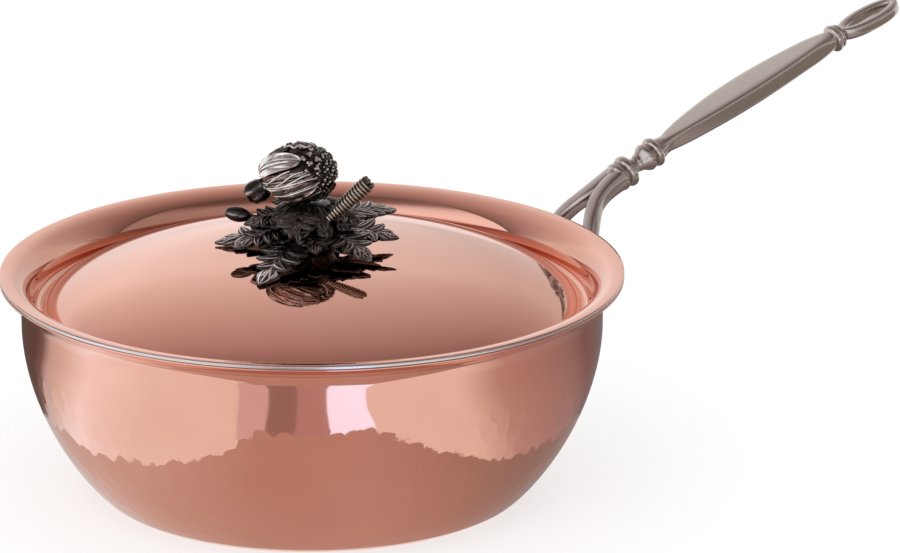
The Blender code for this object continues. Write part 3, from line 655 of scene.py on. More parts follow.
polished_copper = metal_material(
    "polished_copper",
    copper_tone,
    {
        "Bright": (0.79, 0.41, 0.31, 1.0),
        "Deep": (0.765, 0.38, 0.28, 1.0),
        "Cloud Scale": 9.0,
        "Roughness Low": 0.03,
        "Roughness High": 0.06,
    },
)
lid_profile = rounded_lip(lid_skin(lid_copper), lid_skin(0.0))
lid_sheet = turned(lid_profile, body_segments)
add_piece("lid_copper", lid_sheet, polished_copper, "lid", "lid_shell")

# Lid lining
# The same pale skin under the lid, a hair below the copper. It runs from the flange's edge to the
# stud's hole, and its edge lies beside the silver line of the pan.
under = lid_copper + hair_gap
under_profile = rounded_lip(lid_skin(under + lid_lining), lid_skin(under))
add_piece("lid_lining_skin", turned(under_profile, 160), lining_metal, "lid", "lid_lining")

# Handle
# One iron casting in a warm grey satin plate: a faceted grip that swells in the middle, turned
# collars and a vase, two legs that part over the rim and end in riveted pads, and an oval eye.
rim_top = neck_height + flare_radius + lining_inside
handle_foot_x = rim_radius + 0.0330
handle_rise = 0.0166
handle_length = 0.132
slope_low = math.radians(23.8)
slope_high = math.radians(16.9)
grip_start, grip_end = 0.0235, 0.1275
grip_width, grip_thickness = 0.0190, 0.0092
grip_root, grip_tip = 0.0036, 0.0046
sideways = Vector((0.0, 1.0, 0.0))


def spine_point(s):
    """The handle's axis at a length past the lower collar, and its slope there."""
    steps = 24
    x, z = handle_foot_x, rim_top + handle_rise
    for step in range(steps):
        slope = slope_low + (slope_high - slope_low) * s * (step + 0.5) / steps / handle_length
        x += math.cos(slope) * s / steps
        z += math.sin(slope) * s / steps
    return Vector((x, 0.0, z)), slope_low + (slope_high - slope_low) * s / handle_length


def neighbour(vert, fresh):
    """The vertex of a freshly extruded ring that grew from this one."""
    return next(edge.other_vert(vert) for edge in vert.link_edges if edge.other_vert(vert) in fresh)


def swept(stations, count, closed=False):
    """A bar through stations (centre, side, up, half width, half height, squareness)."""
    bm = bmesh.new()
    ring = bmesh.ops.create_circle(bm, segments=count, radius=1.0)["verts"]
    rings = [ring]
    for _ in stations[1:]:
        edges = list({edge for vert in ring for edge in vert.link_edges if edge.other_vert(vert) in ring})
        grown = bmesh.ops.extrude_edge_only(bm, edges=edges)["geom"]
        fresh = [item for item in grown if isinstance(item, bmesh.types.BMVert)]
        ring = [neighbour(vert, fresh) for vert in ring]
        rings.append(ring)
    for ring, (centre, side, up, half_width, half_height, squareness) in zip(rings, stations):
        for k, vert in enumerate(ring):
            angle = 2.0 * math.pi * (k + 0.5) / count
            across = math.copysign(abs(math.cos(angle)) ** (2.0 / squareness), math.cos(angle))
            upward = math.copysign(abs(math.sin(angle)) ** (2.0 / squareness), math.sin(angle))
            vert.co = centre + side * (half_width * across) + up * (half_height * upward)
    ends = [edge for edge in bm.edges if edge.is_boundary]
    if closed:
        bmesh.ops.bridge_loops(bm, edges=ends)
    else:
        bmesh.ops.holes_fill(bm, edges=ends, sides=0)
    bmesh.ops.recalc_face_normals(bm, faces=bm.faces)
    return bm


def eased(table, s):
    """A smooth value at s between the rows (s, value) of a table."""
    for (low, low_value), (high, high_value) in zip(table, table[1:]):
        if s <= high:
            share = min(1.0, max(0.0, (s - low) / (high - low)))
            return low_value + (high_value - low_value) * share * share * (3.0 - 2.0 * share)
    return table[-1][1]


def ringed(core_table, rings, s):
    """A turned radius at s: the core's, or that of a round ring (place, half width, radius) on it."""
    core = eased(core_table, s)
    radius = core
    for centre, half, outer in rings:
        offset = (s - centre) / half
        if abs(offset) < 1.0:
            radius = max(radius, core + (outer - core) * math.sqrt(1.0 - offset * offset))
    return radius


def spine_station(s, half_width, half_height, squareness):
    """A station of the spine at a length along the handle's axis."""
    centre, slope = spine_point(s)
    up = Vector((-math.sin(slope), 0.0, math.cos(slope)))
    return centre, sideways, up, half_width, half_height, squareness


# The turned part, from inside the fork to the grip: two collars, a waist, a vase and a third collar
spine_root = 0.0090
# Rows of a place along the axis and the radius there; a ring's row is its place, half width and radius
turning_core = [
    (-spine_root, 0.0036), (-0.0070, 0.0050), (-0.0048, 0.0058), (0.0040, 0.0056), (0.0052, 0.0040),
    (0.0072, 0.0036), (0.0088, 0.0041), (0.0140, 0.0066), (0.0150, 0.0064), (0.0160, 0.0052),
    (0.0205, 0.0054), (0.0222, 0.0050), (grip_start, 0.0046),
]
turning_rings = [(-0.0030, 0.0017, 0.0070), (0.0019, 0.0023, 0.0077), (0.0186, 0.0020, 0.0072)]
turning_steps = 96
stations = []
for step in range(turning_steps + 1):
    s = -spine_root + (grip_start + spine_root) * step / turning_steps
    radius = ringed(turning_core, turning_rings, s)
    stations.append(spine_station(s, radius, radius, 2.0))

# The grip: round at both ends, flat-faced between them
grip_steps, grip_squareness = 40, 7.0
for step in range(1, grip_steps + 1):
    t = step / grip_steps
    swell = math.sin(math.pi * t)
    end = grip_root + (grip_tip - grip_root) * t
    squareness = 2.0 + (grip_squareness - 2.0) * min(1.0, 8.0 * t, 8.0 * (1.0 - t))
    half_width = end + (grip_width / 2.0 - end) * swell
    half_height = end + (grip_thickness / 2.0 - end) * swell
    s = grip_start + (grip_end - grip_start) * t
    stations.append(spine_station(s, half_width, half_height, squareness))

# The two end collars, before the eye
collar_length = 0.0078
collar_core = [(0.0, 0.0046), (0.0008, 0.0048), (0.0052, 0.0048), (collar_length, 0.0034)]
collar_rings = [(0.0022, 0.0016, 0.0066), (0.0050, 0.0012, 0.0058)]
collar_steps = 36
for step in range(1, collar_steps + 1):
    s = collar_length * step / collar_steps
    radius = ringed(collar_core, collar_rings, s)
    stations.append(spine_station(grip_end + s, radius, radius, 2.0))
spine = swept(stations, 48)

loop_length, loop_width, loop_bar, loop_thickness, loop_squareness = 0.0351, 0.0170, 0.0044, 0.0060, 3.2
loop_slope = math.radians(17.5)
loop_along = Vector((math.cos(loop_slope), 0.0, math.sin(loop_slope)))
loop_up = Vector((-math.sin(loop_slope), 0.0, math.cos(loop_slope)))
loop_centre = spine_point(grip_end + 0.0060)[0] + loop_along * (loop_length / 2.0)
stations = []
for step in range(72):
    angle = 2.0 * math.pi * step / 72
    outward = loop_along * (math.cos(angle) * loop_width) + sideways * (math.sin(angle) * loop_length)
    place = loop_centre + loop_along * (math.cos(angle) * (loop_length - loop_bar) / 2.0)
    place = place + sideways * (math.sin(angle) * (loop_width - loop_bar) / 2.0)
    section = loop_bar / 2.0, loop_thickness / 2.0, loop_squareness
    stations.append((place, outward.normalized(), loop_up, *section))
hanging_eye = swept(stations, 20, closed=True)

leg_width, leg_thickness, leg_squareness = 0.0072, 0.0066, 3.6
root_width, root_thickness = 0.0098, 0.0106
fork_start, fork_length, fork_spread = 0.0036, 0.0180, 0.0021
root_squareness, root_fading, root_shape = 2.4, 1.7, 1.4
knee_out, knee_aside, knee_drop = 0.0022, 0.0122, 0.0040
foot_angle = math.radians(7.5)
foot_centre_z = neck_height - 0.0079
foot_thickness, foot_width, foot_height, foot_squareness = 0.0040, 0.0250, 0.0150, 2.6


def radial(angle):
    """A level direction out from the pan's axis."""
    return Vector((math.cos(angle), math.sin(angle), 0.0))


def bezier(a, b, c, d, t):
    """A place on the smooth curve that four guide points give."""
    s = 1.0 - t
    return a * s**3 + b * (3.0 * s * s * t) + c * (3.0 * s * t * t) + d * t**3


def leg(side):
    """A leg of the fork: square-backed bar from under the collar, over the rim, down to its pad."""
    spread = Vector((0.0, side * fork_spread, 0.0))
    start = spine_point(-fork_start)[0] + spread
    past = spine_point(-fork_start - fork_length)[0] + spread
    knee = Vector((rim_radius + knee_out + leg_thickness / 2.0, side * knee_aside, rim_top - knee_drop))
    end = radial(side * foot_angle) * (neck_radius + 0.6 * foot_thickness)
    end.z = foot_centre_z + 0.07 * foot_height
    lean = Vector((-0.0050, side * 0.0042, -0.0085))
    upper = (start, past, knee - lean, knee)
    lower = (knee, knee + 0.8 * lean, end + Vector((0.3 * foot_height, 0.0, 0.4 * foot_height)), end)
    upper_steps, lower_steps = 24, 14
    points = [bezier(*upper, k / upper_steps) for k in range(upper_steps + 1)]
    points += [bezier(*lower, k / lower_steps) for k in range(1, lower_steps + 1)]
    rows = []
    for k, point in enumerate(points):
        along = (points[min(k + 1, len(points) - 1)] - points[max(k - 1, 0)]).normalized()
        across = (sideways - along * along.dot(sideways)).normalized()
        root = max(0.0, 1.0 - root_fading * k / upper_steps) ** root_shape
        half_width = (leg_width + (root_width - leg_width) * root) / 2.0
        half_height = (leg_thickness + (root_thickness - leg_thickness) * root) / 2.0
        squareness = leg_squareness + (root_squareness - leg_squareness) * root
        rows.append((point, across, across.cross(along), half_width, half_height, squareness))
    return swept(rows, 28)


def pad(side):
    """The oval pad that is riveted to the neck, before its outside is trimmed round."""
    direction = radial(side * foot_angle)
    across = Vector((0.0, 0.0, 1.0)).cross(direction)
    rows = []
    for distance in (neck_radius - foot_thickness, neck_radius + 2.0 * foot_thickness):
        place = direction * distance + Vector((0.0, 0.0, foot_centre_z))
        section = foot_width / 2.0, foot_height / 2.0, foot_squareness
        rows.append((place, across, Vector((0.0, 0.0, 1.0)), *section))
    return swept(rows, 40)


def combine(base, tool, operation):
    """Join or cut two blanks; the tool is used up."""
    modifier = base.modifiers.new(operation, "BOOLEAN")
    modifier.object = tool
    modifier.operation = operation
    modifier.solver = "EXACT"
    evaluated = base.evaluated_get(bpy.context.evaluated_depsgraph_get())
    result = bpy.data.meshes.new_from_object(evaluated)
    base.modifiers.clear()
    base.data = result
    bpy.data.objects.remove(tool)


foot_outside = neck_radius + hair_gap + foot_thickness
casting = new_object("casting", spine)
combine(casting, new_object("eye", hanging_eye), "UNION")
for side in (-1, 1):
    foot = new_object("foot", pad(side))
    lowest = foot_centre_z - 2.0 * foot_height
    envelope = [(0.0, lowest), (foot_outside, lowest), (foot_outside, neck_height), (0.0, neck_height)]
    combine(foot, new_object("envelope", turned(envelope, 160, closed=False)), "INTERSECT")
    combine(casting, new_object("leg", leg(side)), "UNION")
    combine(casting, foot, "UNION")
clearance = [(0.0, -hair_gap)] + pan_skin(-hair_gap)[1:] + [(0.0, neck_height + flare_radius)]
combine(casting, new_object("clearance", turned(clearance, 160, closed=False)), "DIFFERENCE")
handle_bm = bmesh.new()
handle_bm.from_mesh(casting.data)
bpy.data.objects.remove(casting)
bmesh.ops.remove_doubles(handle_bm, verts=handle_bm.verts, dist=2e-6)
bmesh.ops.recalc_face_normals(handle_bm, faces=handle_bm.faces)
cast_satin = metal_material(
    "cast_satin",
    satin_tone,
    {
        "Light": (0.57, 0.515, 0.47, 1.0),
        "Shade": (0.50, 0.445, 0.40, 1.0),
        "Grain Scale": 700.0,
        "Roughness Low": 0.15,
        "Roughness High": 0.24,
    },
)
add_piece("cast_handle", handle_bm, cast_satin, "pan", "handle")

# Handle rivets
# Four turned rivets with button heads outside and flatter heads inside, two through each pad, the
# copper and the lining.
rivet_spread = math.radians(3.75)
rivet_shank, rivet_head, rivet_head_height, rivet_depth = 0.0024, 0.0044, 0.0020, 0.0066
rivet_number = 0
for side in (-1, 1):
    for step in (-1, 1):
        rivet_number += 1
        angle = side * foot_angle + step * rivet_spread
        outer_end = foot_outside + hair_gap
        inner_end = neck_radius - rivet_depth
        profile = [
            (0.0, inner_end - 0.7 * rivet_head_height),
            (0.6 * rivet_head, inner_end - 0.6 * rivet_head_height),
            (rivet_head, inner_end - 0.15 * rivet_head_height),
            (rivet_head, inner_end), (rivet_shank, inner_end),
            (rivet_shank, outer_end), (rivet_head, outer_end),
        ]
        for rise in range(7):
            lift = math.radians(15.0 * rise)
            height = outer_end + rivet_head_height * (0.2 + 0.8 * math.sin(lift))
            profile.append((rivet_head * math.cos(lift), height))
        rivet = turned(profile, 32, closed=False)
        turn = Vector((0.0, 0.0, 1.0)).rotation_difference(radial(angle)).to_matrix().to_4x4()
        place = Matrix.Translation((0.0, 0.0, foot_centre_z)) @ turn
        bmesh.ops.transform(rivet, matrix=place, verts=rivet.verts)
        node = f"handle_rivet_{rivet_number}"
        add_piece(f"rivet_{rivet_number}", rivet, cast_satin, "pan", node)

# Finial boss
# The lump of cast silver-coloured metal in the middle of the spray: it stands on the dome, takes
# the stud from below and carries the leaves and the vegetable head.
boss_radius = 0.0130
boss_profile_heights = [
    (0.0, 0.0083), (stud_hole_radius, 0.0083), (stud_hole_radius, hair_gap), (0.0105, hair_gap),
    (0.0097, 0.0016), (0.0095, 0.0030), (0.0108, 0.0058), (0.0126, 0.0086), (0.0130, 0.0106),
    (0.0124, 0.0138), (0.0108, 0.0174), (0.0096, 0.0192), (0.0080, 0.0204), (0.0, 0.0204),
]
patina, given, made = new_group(
    "patina",
    {
        "Raised": (1.0, 0.95, 0.89, 1.0),
        "Middle": (0.25, 0.215, 0.195, 1.0),
        "Recess": (0.020, 0.016, 0.014, 1.0),
        "Relief": 0.5,
        "Mottle Scale": 420.0,
    },
    ["Colour", "Roughness", "Height"],
)
mottle_spread, half_worn = 0.16, 0.55
roughness_dark, roughness_rubbed = 0.40, 0.13
place = shader_node(patina, "TexCoord").outputs["Object"]
mottle_feeds = {"Vector": place, "Scale": given.outputs["Mottle Scale"], "Detail": 4.0, "Roughness": 0.65}
mottle = shader_node(patina, "TexNoise", mottle_feeds).outputs["Fac"]
spread = mapped(patina, mottle, 0.3, 0.7, -mottle_spread, mottle_spread)
worn = maths(patina, "ADD", given.outputs["Relief"], spread, use_clamp=True)
to_middle = mapped(patina, worn, from_high=half_worn)
to_raised = mapped(patina, worn, from_low=half_worn)
darker = mixed(patina, to_middle, given.outputs["Recess"], given.outputs["Middle"])
patina.links.new(mixed(patina, to_raised, darker, given.outputs["Raised"]), made.inputs["Colour"])
rubbing = mapped(patina, worn, to_low=roughness_dark, to_high=roughness_rubbed)
patina.links.new(rubbing, made.inputs["Roughness"])
patina.links.new(mottle, made.inputs["Height"])
mottle_depth = 0.00014


def antiqued(name, **values):
    """Darkened cast metal that is rubbed bright where the mesh's relief attribute is high."""
    material = metal_material(name, patina, values)
    tree = material.node_tree
    tone = next(node for node in tree.nodes if node.type == "GROUP")
    relief = shader_node(tree, "Attribute", attribute_name="relief")
    tree.links.new(relief.outputs["Fac"], tone.inputs["Relief"])
    add_bump(material, tone.outputs["Height"], mottle_depth)
    return material


def add_casting(name, bm, material, node, sharp):
    """A casting of the knob: it rides on the lid and stands for one node."""
    add_piece(name, bm, material, "lid", node, sharp)


def finial_place(x, y, z):
    """A place above the dome's apex, with x to the right and y away as the photograph sees it."""
    return photo_right * x + photo_ahead * y + Vector((0.0, 0.0, apex_height + z))


antiqued_silver = antiqued("antiqued_silver")
blade_thickness, blade_back_relief = 0.0008, 0.16
ridge_height, ridge_turns, ridge_sharpness = 0.00045, 1.5, 3.4
finger_droop, finger_crown, furrow_relief = 0.0011, 0.22, 0.07


def finger_outline(share):
    """A lobe's half width along it: narrow at its root, full in its middle, pointed at its tip."""
    ending = max(0.0, share - 0.40) / 0.60
    return min(1.0, 0.50 + 1.2 * share) * max(0.0, 1.0 - ending**1.9) ** 0.75


def add_finger(bm, relief, upright, path, half_width, lift, brightness, lowest=None):
    """A pointed lobe along a path of three places, with a ridge down its middle and along its sides."""
    base, bend, end = path
    for vert in bmesh.ops.create_grid(bm, x_segments=14, y_segments=12, size=0.5)["verts"]:
        a, b = vert.co.x + 0.5, 2.0 * vert.co.y
        along = (bend - base) * (1.0 - a) + (end - bend) * a
        sideways_here = upright.cross(along).normalized()
        outward = along.cross(sideways_here).normalized()
        half = half_width * finger_outline(a)
        ridge = 0.5 + 0.5 * math.cos(2.0 * math.pi * ridge_turns * b)
        place = base * (1.0 - a) ** 2 + bend * (2.0 * a * (1.0 - a)) + end * a**2
        place = place + sideways_here * (b * half)
        raised = lift + ridge_height * ridge * min(1.0, 3.0 * (1.0 - a)) - finger_crown * half * b * b
        place = place + outward * raised
        place.z -= finger_droop * a * a
        if lowest is not None:
            place.z = max(place.z, lowest(place))
        vert.co = finial_place(*place)
        vert[relief] = furrow_relief + brightness * ridge**ridge_sharpness * (0.72 + 0.28 * a)


def thicken(bm, relief, faces, downward):
    """Give open blades a thickness and a dark underside."""
    grown = bmesh.ops.extrude_face_region(bm, geom=faces, use_keep_orig=True)["geom"]
    lower = [item for item in grown if isinstance(item, bmesh.types.BMVert)]
    bmesh.ops.translate(bm, verts=lower, vec=downward)
    for vert in lower:
        vert[relief] = blade_back_relief


boss = turned([(radius, apex_height + height) for radius, height in boss_profile_heights], 72, closed=False)
relief_layer = boss.verts.layers.float.new("relief")
boss_folds, fold_depth = 12.0, 0.0005
for vert in boss.verts:
    distance = math.hypot(vert.co.x, vert.co.y)
    height = (vert.co.z - apex_height) / boss_profile_heights[-1][1]
    fold = 0.5 + 0.5 * math.cos(boss_folds * math.atan2(vert.co.y, vert.co.x) + 3.0 * height)
    vert[relief_layer] = 0.03 + 0.40 * fold**3 * min(1.0, max(0.0, 3.0 * height - 1.2))
    if distance > 0.8 * boss_radius:
        vert.co.xy = vert.co.xy * (1.0 - fold_depth * (1.0 - fold) / distance)
boss_faces = set(boss.faces)
# Rows of bracts: how many, their turn, radius and height at root, bend and tip, and half width
bract_shine = 0.26
bract_rows = [
    (10, 0.0, 0.0086, 0.0202, 0.0165, 0.0200, 0.0198, 0.0128, 0.0044),
    (9, 0.35, 0.0108, 0.0160, 0.0170, 0.0145, 0.0188, 0.0060, 0.0042),
]
for count, shift, *reaches, bract_half in bract_rows:
    for k in range(count):
        turn = 2.0 * math.pi * (k + shift) / count
        outward = radial(turn)
        places = zip(reaches[0::2], reaches[1::2])
        path = [outward * radius + Vector((0.0, 0.0, height)) for radius, height in places]
        upright = outward * 0.7 + Vector((0.0, 0.0, 0.7))
        add_finger(boss, relief_layer, upright, path, bract_half, 0.0, bract_shine)
bract_faces = [face for face in boss.faces if face not in boss_faces]
thicken(boss, relief_layer, bract_faces, (0.0, 0.0, -blade_thickness))
bmesh.ops.recalc_face_normals(boss, faces=boss.faces)
add_casting("spray_boss", boss, antiqued_silver, "finial_boss", sharp=55.0)

# Leaves
# Two tiers of cast leaves, brazed round the boss. Each is a fan of pointed finger lobes along a midrib,
# with chased ridges that are rubbed bright and furrows that the dark patina fills.
leaf_reach, leaf_width, leaf_rise, leaf_thickness = 0.0400, 0.0200, 0.0100, 0.0012
leaf_sweep, leaf_cup, leaf_point = 0.7, 0.18, 0.10
more_fingers = 1
boss_sides = [(hair_gap, 0.0105), (0.0030, 0.0095), (0.0100, 0.0130), (0.0174, 0.0108), (0.0204, 0.0080)]


def dome_drop(distance):
    """How far the dome has dropped below its apex at a distance from the axis."""
    share = min(1.0, distance / dome_radius)
    return dome_height * (1.0 - (1.0 - share**dome_fullness) ** (1.0 / dome_rounding))


def leaf(azimuth, reach_share, width_share, start_share, tip_share, arch_share, roll, lobes, painted_light):
    """A fan of finger lobes that ends in the points of the leaf's outline, with a midrib over it."""
    azimuth, roll = math.radians(azimuth), math.radians(roll)
    reach, width = reach_share * leaf_reach, width_share * leaf_width
    start, tip, arch = start_share * leaf_rise, tip_share * leaf_rise, arch_share * leaf_rise
    root = max(between(boss_sides, start), between(boss_sides, start + leaf_thickness)) + hair_gap
    length = reach - root
    direction = radial(azimuth)
    level = math.cos(roll)
    across = Vector((-math.sin(azimuth) * level, math.cos(azimuth) * level, math.sin(roll)))
    upright = direction.cross(across).normalized()
    stations = 2 * (lobes + more_fingers) + 2
    bm = bmesh.new()
    relief = bm.verts.layers.float.new("relief")

    def blade_place(station, side):
        t = station / stations
        half = 0.5 * width * (0.16 * (1.0 - t) + math.sin(math.pi * t**0.9))
        sweep = leaf_sweep * length / stations * math.sqrt(1.0 - t) * abs(side)
        place = direction * (root + length * (t + leaf_point * t**8) + sweep) + across * (side * half)
        place.z += start + (tip - start) * t + arch * math.sin(math.pi * t)
        place.z += leaf_cup * half * (abs(side) - 0.5) + leaf_thickness
        return place

    def lowest(place):
        return blade_thickness + 2.0 * hair_gap - dome_drop(math.hypot(place.x, place.y))

    # The leaf's painted light level scales how bright its rubbed ridges are: painted light and shade, leaf by
    # leaf.
    for station in range(1, stations, 2):
        for side in (-1.0, 1.0):
            base = blade_place(max(0.0, station - 2.2), 0.0)
            bend = blade_place(max(0.6, station - 0.6), 0.30 * side)
            end = blade_place(station, side)
            lift = 0.0003 * (station % 4 == 1) + 0.0001 * (side > 0.0)
            path = base, bend, end
            add_finger(bm, relief, upright, path, 1.30 * length / stations, lift, painted_light, lowest)
    path = blade_place(stations - 3.8, 0.0), blade_place(stations - 1.9, 0.0), blade_place(stations, 0.0)
    add_finger(bm, relief, upright, path, 1.45 * length / stations, 0.0004, painted_light, lowest)
    path = blade_place(0.0, 0.0), blade_place(0.35 * stations, 0.0), blade_place(0.8 * stations, 0.0)
    add_finger(bm, relief, upright, path, 0.36 * width, -0.0003, 0.45 * painted_light, lowest)
    path = blade_place(0.0, 0.0), blade_place(0.4 * stations, 0.0), blade_place(stations - 1.5, 0.0)
    add_finger(bm, relief, upright, path, 0.0008, 0.0007, painted_light, lowest)
    thicken(bm, relief, list(bm.faces), (0.0, 0.0, -blade_thickness))
    bmesh.ops.recalc_face_normals(bm, faces=bm.faces)
    return bm


# Each row is in the order of the leaf function: the angles in degrees, then shares of the leaf sizes,
# the number of lobes and a painted light level: the front leaf is painted lighter, and the leaves at the
# right and in the upper tier darker, as painted shade
leaves = {
    "leaf_left": (172, 1.03, 1.10, 0.45, -0.06, 0.14, -14, 3, 1.00),
    "leaf_left_front": (207, 0.91, 1.00, 1.05, 0.40, 0.10, -10, 3, 1.00),
    "leaf_front": (247, 1.325, 1.05, 0.50, -0.24, 0.22, 0, 4, 1.20),
    "leaf_front_small": (274, 0.71, 0.60, 0.85, 0.50, 0.08, 0, 2, 0.80),
    "leaf_right_front": (310, 0.98, 1.05, 0.80, 0.25, 0.25, 6, 3, 0.96),
    "leaf_right": (345, 0.95, 0.95, 0.75, 0.66, 0.14, 14, 3, 0.92),
    "leaf_back_right": (31, 1.03, 0.95, 1.20, 1.00, 0.16, 8, 3, 0.88),
    "leaf_back": (70, 0.91, 1.00, 0.65, 0.10, 0.16, 0, 3, 0.90),
    "leaf_back_left": (122, 0.96, 0.95, 0.65, 0.10, 0.16, 0, 3, 0.90),
    "leaf_upper_left": (192, 0.73, 0.76, 1.50, 1.18, 0.10, -16, 2, 0.80),
    "leaf_upper_front": (252, 0.70, 1.10, 1.78, 1.22, 0.12, 0, 3, 0.66),
    "leaf_upper_right": (332, 0.59, 0.72, 1.50, 1.42, 0.08, 6, 2, 0.62),
    "leaf_upper_back": (60, 0.64, 0.80, 1.60, 1.40, 0.10, 0, 2, 0.60),
    "leaf_upper_back_left": (125, 0.64, 0.80, 1.60, 1.40, 0.10, 0, 2, 0.60),
}
for leaf_name, row in leaves.items():
    add_casting(f"{leaf_name}_blade", leaf(*row), antiqued_silver, leaf_name, sharp=55.0)

# Vegetable head
# A round cast head on top of the spray: broad veined leaves wrap its left and its underside, with
# slanting ribs chased on them, and round florets of two sizes crowd its top and its right.
globe_radii = (0.0172, 0.0162, 0.0136)
globe_centre = Vector((-0.0050, 0.0, 0.0343))
core_depth = 0.0013
head_upward = Vector((0.0, math.sin(photo_elevation), math.cos(photo_elevation)))
head_toward = Vector((0.0, -math.cos(photo_elevation), math.sin(photo_elevation)))


def head_direction(right, up, behind=False):
    """A direction out of the head, from its place in the outline that the photograph sees."""
    depth = math.sqrt(max(0.0, 1.0 - right * right - up * up))
    return Vector((right, 0.0, 0.0)) + head_upward * up + head_toward * (-depth if behind else depth)


def on_head(direction, lift):
    """A place on the head's oval surface, lifted off it."""
    outward = direction.normalized()
    offset = Vector([outward[k] * (globe_radii[k] + lift) for k in range(3)])
    return finial_place(*(globe_centre + offset))


head = bmesh.new()
relief = head.verts.layers.float.new("relief")
core = bmesh.ops.create_uvsphere(head, u_segments=64, v_segments=40, radius=1.0)["verts"]
for vert in core:
    vert.co = on_head(vert.co.copy(), -core_depth)
    vert[relief] = 0.06


def add_bead(direction, size, brightness):
    """A round floret, brightest on its outer side."""
    outward = direction.normalized()
    bead = bmesh.ops.create_uvsphere(head, u_segments=8, v_segments=6, radius=size)["verts"]
    centre = on_head(direction, 0.3 * size - core_depth)
    outside = (on_head(direction, 1.0) - on_head(direction, 0.0)).normalized()
    for vert in bead:
        vert[relief] = 0.10 + brightness * max(0.0, vert.co.dot(outside) / size) ** 2
        vert.co = vert.co + centre


golden_turn = 2.399963
floret_places, fine_bead_places = 170, 560
floret_beads, floret_size, floret_unevenness, floret_spread = 4, 0.00095, 0.00020, 0.050
fine_bead_size, fine_bead_unevenness, fine_bead_shift = 0.00070, 0.00028, 0.035
edge_beads, edge_bead_size, edge_bead_shine = 19, 0.0010, 0.50


def spiral(count):
    """Directions spread evenly over a ball."""
    for k in range(count):
        height = -1.0 + 2.0 * (k + 0.5) / count
        turn = golden_turn * k
        flat = math.sqrt(1.0 - height * height)
        yield k, Vector((flat * math.cos(turn), flat * math.sin(turn), height))


# Florets of three beads round a fourth, on the top and the back
for k, direction in spiral(floret_places):
    right, up = direction.x, direction.dot(head_upward)
    front = direction.dot(head_toward) > 0.0
    if up > -0.05 and (0.02 < right < 0.48 or not front):
        sideways_here = direction.cross(head_toward).normalized()
        for part in range(floret_beads):
            turn = 2.0 * math.pi * part / 3.0 + k
            spot = sideways_here * math.cos(turn) + direction.cross(sideways_here) * math.sin(turn)
            spread = floret_spread if part < 3 else 0.0
            size = floret_size + floret_unevenness * math.sin(3.7 * k + part)
            add_bead((direction + spot * spread).normalized(), size, 1.0)

# Fine beads of uneven size, set a little out of line, at the right
for k, direction in spiral(fine_bead_places):
    jitter = Vector((math.sin(12.9 * k), math.sin(7.3 * k + 1.0), math.sin(5.1 * k + 2.0)))
    direction = (direction + fine_bead_shift * jitter).normalized()
    right, up = direction.x, direction.dot(head_upward)
    if right > 0.44 and up > -0.62 or direction.dot(head_toward) < 0.0 and -0.55 < up < 0.0:
        add_bead(direction, fine_bead_size + fine_bead_unevenness * math.sin(2.3 * k), 1.0)

# A crimped edge of dull beads where the leaves end at the top
for k in range(edge_beads):
    share = k / (edge_beads - 1.0)
    rise = 0.86 + 0.08 * math.sin(math.pi * share) + 0.035 * (-1.0) ** k
    edge_place = head_direction(-0.52 + 0.86 * share, min(rise, 0.99 - 0.3 * abs(share - 0.6)))
    add_bead(edge_place, edge_bead_size, edge_bead_shine)

rib_width, furrow_place, furrow_width, vein_slant, vein_width, rim_width = 0.08, 0.19, 0.07, 1.3, 0.11, 0.10
wrap_relief, wrap_depth, back_relief = 0.00055, 0.94, 0.08


def crest(distance, width):
    """1 in the middle of a ridge or furrow, falling smoothly to 0 past its width."""
    return math.exp(-((distance / width) ** 2))


def wrap_leaf(places, half_width, lift, curl, branches, brightness):
    """A broad leaf laid on the head along three places, with a midrib, veins and a turned-up rim; its
    brightness is painted light.
    """
    start, bend, end = (head_direction(*place) for place in places)
    known = set(head.faces)
    grid = bmesh.ops.create_grid(head, x_segments=40, y_segments=28, size=0.5)["verts"]
    for vert in grid:
        a, b = vert.co.x + 0.5, 2.0 * vert.co.y
        edge = abs(b)
        middle = (start * (1.0 - a) ** 2 + bend * (2.0 * a * (1.0 - a)) + end * a**2).normalized()
        along = (bend - start) * (1.0 - a) + (end - bend) * a
        outline = min(1.0, 0.40 + 1.5 * a) * math.sqrt(max(0.0, 1.0 - (max(0.0, a - 0.5) / 0.5) ** 2.2))
        place = middle + middle.cross(along).normalized() * (b * half_width * outline)
        rib = crest(edge, rib_width)
        furrow = crest(edge - furrow_place, furrow_width)
        branch = (a * branches - vein_slant * edge) % 1.0
        vein = crest(branch - 0.5, vein_width) * min(1.0, max(0.0, 4.0 * (edge - 0.2)))
        rim = crest(1.0 - edge, rim_width)
        high = brightness + 0.34 * rib - 0.75 * furrow - 0.42 * vein + 0.30 * rim
        high = min(1.0, max(0.0, high - 0.35 * max(0.0, a - 0.55)))
        vert.co = on_head(place, lift + wrap_relief * high + curl * edge**4)
        vert[relief] = 0.06 + 0.88 * high
    fresh = [face for face in head.faces if face not in known]
    grown = bmesh.ops.extrude_face_region(head, geom=fresh, use_keep_orig=True)["geom"]
    centre = finial_place(*globe_centre)
    for item in grown:
        if isinstance(item, bmesh.types.BMVert):
            item.co = centre + (item.co - centre) * wrap_depth
            item[relief] = back_relief
